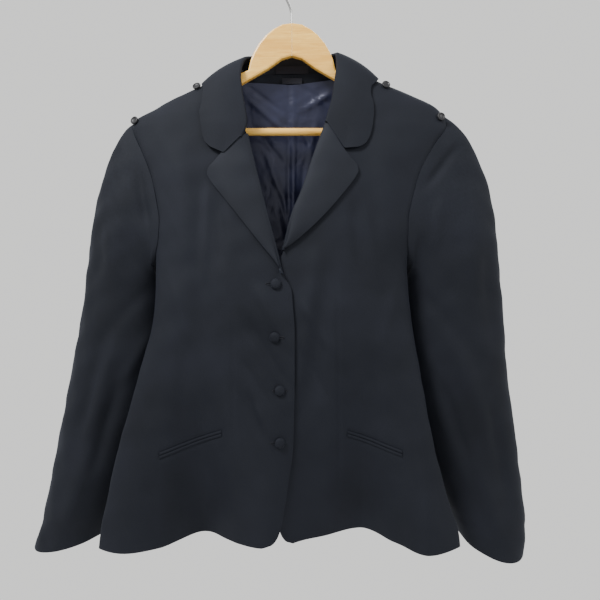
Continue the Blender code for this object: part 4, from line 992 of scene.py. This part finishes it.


# The lapels are the fronts' own facings, turned back over the roll line and pressed softly, so
# they lie just above the fronts. Their tips are rounded. Their wool is a copy with more sheen and
# less roughness, a painted highlight for the light from above that the lapels catch.
LAP_GAP = 0.0005
LAPEL_WALL = 0.0014
ROLL_TURNS = (-0.45, 0.5)
LAPEL_ROWS = 90
LAPEL_COLUMNS = 34
ROLL_COLUMNS = 8
LAPEL_LIFT = 0.0076
LAPEL_ROLL = 0.6
LAPEL_EDGE_LIFT = 0.0024
RIGHT_LAPEL = table(
    Place,
    (-0.0985, -0.281), (-0.111, -0.296), (-0.119, -0.3055), (-0.1205, -0.313),
    (-0.116, -0.322), (-0.096, -0.348), (-0.074, -0.376), (-0.048, -0.409),
    (-0.023, -0.44), (-0.012, -0.457),
)
LEFT_LAPEL = table(
    Place,
    (0.0731, -0.275), (0.084, -0.29), (0.093, -0.301), (0.095, -0.309),
    (0.091, -0.318), (0.073, -0.342), (0.052, -0.367), (0.027, -0.392),
    (0.002, -0.413), (-0.012, -0.4225),
)
LAPELS = {-1: RIGHT_LAPEL, 1: LEFT_LAPEL}
GORGE_TOP_Z = {-1: -0.2540, 1: -0.2340}
LAPEL_END_Z = {-1: -0.4560, 1: -0.4220}


def lapel_points(sign):
    """A lapel's outer face: round the roll from inside, then across to its outer edge."""
    outline = curves_of(LAPELS[sign])
    share = np.linspace(0, 1, LAPEL_ROWS + 1)[:, None]
    roll_z = GORGE_TOP_Z[sign] + (LAPEL_END_Z[sign] - GORGE_TOP_Z[sign]) * share
    roll_x = EDGES[sign].at(roll_z) + sign * ROLL_RADIUS
    last = len(LAPELS[sign]) - 1
    tip_x = outline["x"].at(last * share)
    tip_z = outline["z"].at(last * share)
    u = np.linspace(0, 1, LAPEL_COLUMNS + 1)[None, :]
    x = roll_x + (tip_x - roll_x) * u
    z = roll_z + (tip_z - roll_z) * u
    on_front, normals = front_surface(sign, around_of(x, z), z)
    lift = LAP_GAP + LAPEL_WALL + LAPEL_LIFT * u**LAPEL_ROLL * (1 - u) + LAPEL_EDGE_LIFT * u
    laid = on_front + normals * np.broadcast_to(lift, x.shape)[..., None]
    turn = np.linspace(*ROLL_TURNS, ROLL_COLUMNS)[None, :, None] * math.pi
    edge, out = on_front[:, :1], normals[:, :1]
    outwards = np.array([-sign, 0.0, 0.0]) - out * (out[..., :1] * -sign)
    middle = edge - out * (ROLL_RADIUS - LAP_GAP - LAPEL_WALL)
    rolled = middle + ROLL_RADIUS * (outwards * np.cos(turn) + out * np.sin(turn))
    return np.concatenate([rolled, laid[:, 1:]], axis=1), normals


# A brighter copy of the wool, with more sheen and less roughness: a painted highlight on the
# lapels.
lapel_wool_painted_highlight = wool_cloth("navy_wool_painted_highlight", (0.4, 0.2, 0.7), roughness=0.70, bloom=0.065)
for sign, side in SIDES:
    points, normals = lapel_points(sign)
    out_at_middle = normals[LAPEL_ROWS // 2, LAPEL_COLUMNS // 2 - ROLL_COLUMNS // 2]
    piece = cloth(f"lapel_cloth_{side}", points, out_at_middle, LAPEL_WALL, lapel_wool_painted_highlight)
    wear(piece, f"lapel_{side}")


# The collar is one piece with its stand: the stand rises from the neck seam, the cloth rolls
# over at the top, and the fall lies outside it. Its ends are rounded.
COLLAR_WALL = 0.0014
COLLAR_ROLL = 0.0024
COLLAR_BULGE = 0.0045
COLLAR_EDGE_LIFT = 0.0020
COLLAR_SECTIONS = 150
COLLAR_NOTCH = 0.43
COLLAR_STAND_STEPS = 6
COLLAR_ROLL_STEPS = 9
COLLAR_FALL_STEPS = 24
COLLAR_CORNER = 0.42
COLLAR_CORNER_SHARE = 0.74
CollarRow = namedtuple(
    "CollarRow", "fold_x fold_y fold_z edge_around edge_z base_around base_z end_dip"
)
COLLAR = table(
    CollarRow,
    (-0.0715, -0.0465, -0.2593, 0.389, -0.2705, 0.233, -0.266, 0.02),
    (-0.0645, -0.041, -0.2361, 0.403, -0.235, 0.216, -0.238, 0.0),
    (-0.0725, -0.0285, -0.187, 0.494, -0.205, 0.355, -0.189, 0.0),
    (-0.0755, -0.019, -0.16, 0.663, -0.183, 0.58, -0.163, 0.0),
    (-0.0705, 0.002, -0.1305, 1.0, -0.1725, 1.0, -0.1535, 0.0),
    (-0.055, 0.019, -0.122, 1.3, -0.177, 1.3, -0.1555, 0.0),
    (-0.028, 0.0275, -0.119, 1.65, -0.184, 1.65, -0.156, 0.0),
    (0.0, 0.0295, -0.118, 2.0, -0.188, 2.0, -0.156, 0.0),
    (0.027, 0.0275, -0.1185, 1.65, -0.183, 1.65, -0.156, 0.0),
    (0.052, 0.019, -0.12, 1.3, -0.173, 1.3, -0.153, 0.0),
    (0.066, 0.002, -0.123, 1.0, -0.1655, 1.0, -0.147, 0.0),
    (0.066, -0.0155, -0.147, 0.554, -0.18, 0.596, -0.153, 0.0),
    (0.063, -0.024, -0.17, 0.404, -0.205, 0.376, -0.172, 0.0),
    (0.0585, -0.032, -0.2, 0.364, -0.2361, 0.227, -0.203, 0.0),
    (0.0486, -0.041, -0.2361, 0.355, -0.2745, 0.166, -0.24, 0.024),
)


def unit(vectors):
    return vectors / np.linalg.norm(vectors, axis=-1, keepdims=True)


stand_shares = [i / COLLAR_STAND_STEPS - 1 for i in range(COLLAR_STAND_STEPS)]
roll_turns = [math.pi * i / COLLAR_ROLL_STEPS for i in range(COLLAR_ROLL_STEPS)]
fall_shares = [i / COLLAR_FALL_STEPS for i in range(COLLAR_FALL_STEPS + 1)]
last_place = len(COLLAR) - 1
steps = np.linspace(0, last_place, COLLAR_SECTIONS + 1)
curves = curves_of(COLLAR)


def collar_frame(share):
    """The fold, the edge, the base and the directions of every section, at a share of the fall.

    Towards the outer edge the two end sections draw back, which rounds the collar's corners.
    """
    near_edge = max(share - COLLAR_CORNER_SHARE, 0) / (1 - COLLAR_CORNER_SHARE)
    pull = COLLAR_CORNER * (1 - math.sqrt(1 - near_edge**2))
    near_start, near_end = np.clip(1 - steps, 0, 1), np.clip(steps - last_place + 1, 0, 1)
    place = steps + pull * (near_start - near_end)
    value = {column: curve.at(place) for column, curve in curves.items()}
    sign = np.where(place < len(COLLAR) // 2, -1.0, 1.0)
    seat = LAP_GAP + COLLAR_WALL / 2
    fold = np.stack([value["fold_x"], value["fold_y"], value["fold_z"]], axis=-1)
    edge_out = body_normals(sign * value["edge_around"], value["edge_z"])
    edge = body_points(sign * value["edge_around"], value["edge_z"])
    edge = edge + edge_out * (seat + COLLAR_EDGE_LIFT)
    base = body_points(sign * value["base_around"], value["base_z"])
    base = base + body_normals(sign * value["base_around"], value["base_z"]) * seat
    rise = unit(fold - edge)
    out = unit(edge_out - rise * (edge_out * rise).sum(axis=-1, keepdims=True))
    return fold, edge, base, rise, out, value["end_dip"]


fold, edge, base, rise, out, _ = collar_frame(0)
centre = fold - rise * COLLAR_ROLL
stand_top = centre - out * COLLAR_ROLL
columns = [stand_top + (stand_top - base) * share for share in stand_shares]
for turn in roll_turns:
    columns.append(centre + COLLAR_ROLL * (rise * math.sin(turn) - out * math.cos(turn)))
for share in fall_shares:
    fold, edge, base, rise, out, end_dip = collar_frame(share)
    fall_top = fold + (out - rise) * COLLAR_ROLL
    dip = min(share / COLLAR_NOTCH, (1 - share) / (1 - COLLAR_NOTCH))
    point = fall_top + (edge - fall_top) * share + out * COLLAR_BULGE * 4 * share * (1 - share)
    point[:, 2] -= end_dip * dip
    columns.append(point)
points = np.stack(columns, axis=1)
normals = grid_normals(points)
if normals[COLLAR_SECTIONS // 2, -2, 1] < 0:
    normals = -normals
out_at_middle = normals[(COLLAR_SECTIONS + 1) // 2, len(columns) // 2]
points = points + normals * COLLAR_WALL / 2
collar = cloth("collar_cloth", points, out_at_middle, COLLAR_WALL, wool)
wear(collar, "collar")


# Each pocket is a slit with two narrow welts of folded wool, slanting down towards the side. One
# is sewn along the slit's upper side, and one along its lower.
WELT_HEIGHT = 0.0042
WELT_SLOT = 0.0008
WELT_WALL = 0.0010
WELT_RISE = 0.0003
WELT_SWELL = 0.0005
WELT_ROWS = 8
WELT_COLUMNS = 60
for sign, side in SIDES:
    pocket = POCKETS[sign]
    share = np.linspace(0, 1, WELT_COLUMNS + 1)[None, :]
    for level, name in ((1, "upper"), (-1, "lower")):
        up = np.linspace(0, 1, WELT_ROWS + 1)[:, None]
        x = pocket.inner_x + (pocket.outer_x - pocket.inner_x) * share + 0 * up
        z = pocket.inner_z + (pocket.outer_z - pocket.inner_z) * share
        z = z + level * (WELT_SLOT / 2 + WELT_HEIGHT * up)
        on_front, normals = front_surface(sign, around_of(x, z), z)
        swell = WELT_RISE + WELT_SWELL * np.sin(math.pi * up) + 0 * share
        points = on_front + normals * swell[..., None]
        out_at_middle = normals[WELT_ROWS // 2, WELT_COLUMNS // 2]
        piece = cloth(f"welt_{side}_{name}", points, out_at_middle, WELT_WALL, wool)
        wear(piece, f"pocket_{side}_{name}")


# The four front buttons are domed and covered in the same wool. Each sits over a buttonhole
# worked in navy thread. The four on the shoulders are black plastic with a raised rim.
BUTTON_STEPS = 40
BUTTON_RADIUS = 0.0075
BUTTON_HEIGHT = 0.0048
SHOULDER_BUTTON_RADIUS = 0.0062
SHOULDER_BUTTON_HEIGHT = 0.0042
SHOULDER_BUTTON_TILT = np.array([0.0, -0.7, 0.0])
SHOULDER_BUTTON_SHANK = 0.0012
PLASTIC_DARK = (0.008, 0.008, 0.010, 1)
PLASTIC_LIGHT = (0.016, 0.016, 0.018, 1)
ShoulderPlace = namedtuple("ShoulderPlace", "around z")
SHOULDER_BUTTONS = table(
    ShoulderPlace,
    (-0.855, -0.1785), (-0.893, -0.229), (0.76, -0.1765), (0.82, -0.2235),
)
COVERED_PROFILE = ((0, 0), (0.72, 0), (0.90, 0.08), (0.99, 0.24), (1.0, 0.38), (0.95, 0.56),
                   (0.84, 0.74), (0.66, 0.88), (0.42, 0.97), (0.2, 0.995), (0, 1))
RIM_PROFILE = ((0, 0), (0.6, 0), (0.82, 0.12), (0.96, 0.35), (1, 0.55), (0.97, 0.82), (0.89, 0.97),
               (0.80, 1), (0.72, 0.95), (0.64, 0.80), (0.5, 0.70), (0.3, 0.66), (0, 0.65))


def spun_button(name, centre, normal, radius, height, profile, material):
    """A round button, spun from its half section and standing on the cloth."""
    button = bmesh.new()
    verts = [button.verts.new((radius * r, 0.0, height * h)) for r, h in profile]
    edges = [button.edges.new((verts[i], verts[i + 1])) for i in range(len(verts) - 1)]
    bmesh.ops.spin(button, geom=verts + edges, cent=(0, 0, 0), axis=(0, 0, 1),
                   angle=math.tau, steps=BUTTON_STEPS, use_merge=True)
    bmesh.ops.remove_doubles(button, verts=button.verts[:], dist=1e-6)
    bmesh.ops.recalc_face_normals(button, faces=button.faces[:])
    uv = button.loops.layers.uv.verify()
    for face in button.faces:
        for loop in face.loops:
            loop[uv].uv = loop.vert.co.xy
    turn = Vector(normal).to_track_quat("Z", "Y").to_matrix()
    bmesh.ops.rotate(button, verts=button.verts[:], cent=(0, 0, 0), matrix=turn)
    bmesh.ops.translate(button, verts=button.verts[:], vec=Vector(centre))
    mesh = bpy.data.meshes.new(name)
    button.to_mesh(mesh)
    button.free()
    mesh.shade_smooth()
    mesh.materials.append(material)
    return link(bpy.data.objects.new(name, mesh))


for number, button in enumerate(FRONT_BUTTONS, 1):
    point, normal = front_surface(-1, around_of(button.x, button.z), np.array(button.z))
    piece = spun_button(f"covered_button_{number}", point + normal * LAP_GAP, normal,
                        BUTTON_RADIUS, BUTTON_HEIGHT, COVERED_PROFILE, wool)
    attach(piece, "root")
    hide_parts(f"button_{number}")

black_plastic = clouded("black_plastic", roughness=0.42, scale=400.0, detail=3.0,
                        dark=PLASTIC_DARK, light=PLASTIC_LIGHT, Specular_IOR_Level=0.35)
for number, button in enumerate(SHOULDER_BUTTONS, 1):
    side = -1 if button.around < 0 else 1
    point, normal = front_surface(side, np.array(button.around), np.array(button.z))
    turned = unit(normal + SHOULDER_BUTTON_TILT)
    piece = spun_button(f"rimmed_button_{number}", point + normal * SHOULDER_BUTTON_SHANK, turned,
                        SHOULDER_BUTTON_RADIUS, SHOULDER_BUTTON_HEIGHT, RIM_PROFILE, black_plastic)
    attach(piece, "root")
    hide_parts(f"shoulder_button_{number}")


# Each buttonhole is a slit bound with close stitches of navy thread. It runs sideways under its
# button and shows a few millimetres at one side.
HOLE_HALF = 0.0105
HOLE_WIDTH = 0.0014
HOLE_STEPS = 48
HOLE_SQUARENESS = 0.5
THREAD_RADIUS = 0.0005
THREAD_RISE = 0.6
THREAD_DARK = (0.002, 0.002, 0.004, 1)
THREAD_LIGHT = (0.009, 0.010, 0.016, 1)
HOLE_SHIFTS = (-0.0040, 0.0030, 0.0, -0.0030)
thread, thread_tree, thread_shader = new_material("navy_thread", 0.7, Specular_IOR_Level=0.25)
thread_place = add_node(thread_tree, "ShaderNodeTexCoord").outputs["Object"]
thread_twist = bands(thread_tree, thread_place, scale=400.0, distortion=1.0, direction="X")
tint(thread_tree, thread_shader, thread_twist, THREAD_DARK, THREAD_LIGHT)
for number, (button, shift) in enumerate(zip(FRONT_BUTTONS, HOLE_SHIFTS), 1):
    turns = np.linspace(0, math.tau, HOLE_STEPS + 1)[:-1]
    reach_along = np.sign(np.cos(turns)) * np.abs(np.cos(turns)) ** HOLE_SQUARENESS
    x = button.x + shift + HOLE_HALF * reach_along
    z = button.z + HOLE_WIDTH * np.sin(turns)
    line, normals = front_surface(-1, around_of(x, z), z)
    line = line + normals * THREAD_RADIUS * THREAD_RISE
    curve = bpy.data.curves.new(f"buttonhole_{number}", "CURVE")
    curve.dimensions = "3D"
    curve.bevel_depth = THREAD_RADIUS
    curve.bevel_resolution = 2
    spline = curve.splines.new("POLY")
    spline.points.add(len(line) - 1)
    spline.use_cyclic_u = True
    for point, at in zip(spline.points, line):
        point.co = (*at, 1.0)
    curve.materials.append(thread)
    piece = link(bpy.data.objects.new(f"buttonhole_{number}", curve))
    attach(piece, "root")


# The neck label and the size tab are bare woven tape. The label is sewn by its ends to the
# collar's stand, and the tab to the top of the lining below it.
LABEL_SIZE = (0.050, 0.0120)
LABEL_Y = 0.0237
LABEL_Z = -0.1412
TAB_SIZE = (0.030, 0.0090)
TAB_Z = -0.1590
TAB_LIFT = 0.0016
LABEL_WALL = 0.0006
LABEL_DOME = 0.0002
TAPE_DARK = (0.006, 0.006, 0.010, 1)
TAPE_LIGHT = (0.016, 0.016, 0.022, 1)
tape, tape_tree, tape_shader = new_material("woven_tape", 0.8, Specular_IOR_Level=0.2)
tape_flat = add_node(tape_tree, "ShaderNodeUVMap").outputs["UV"]
tape_threads = bands(tape_tree, tape_flat, scale=450.0, distortion=0.5, direction="Y")
tint(tape_tree, tape_shader, tape_threads, TAPE_DARK, TAPE_LIGHT)
emboss(tape_tree, tape_shader, tape_threads, strength=0.4, distance=0.0001)


def tape_label(name, node, size, y, middle_z):
    """A strip of tape, flat against what it is sewn to and a little domed between its ends."""
    u = np.linspace(-1, 1, 25)[None, :]
    v = np.linspace(1, -1, 9)[:, None]
    x = size[0] / 2 * u + 0 * v
    z = middle_z + size[1] / 2 * v + 0 * u
    depth = y - LABEL_WALL / 2 - LABEL_DOME * (1 - u * u) * (1 - v * v)
    points = np.stack([x, depth, z], axis=-1)
    piece = cloth(name, points, (0, -1, 0), LABEL_WALL, tape)
    wear(piece, node)


tape_label("neck_label_tape", "neck_label", LABEL_SIZE, LABEL_Y, LABEL_Z)
tab_y = float(body_points(2.0, TAB_Z)[1]) - WALL - LINING_GAP - LINING_WALL - TAB_LIFT
tape_label("size_tab_tape", "size_tab", TAB_SIZE, tab_y, TAB_Z)
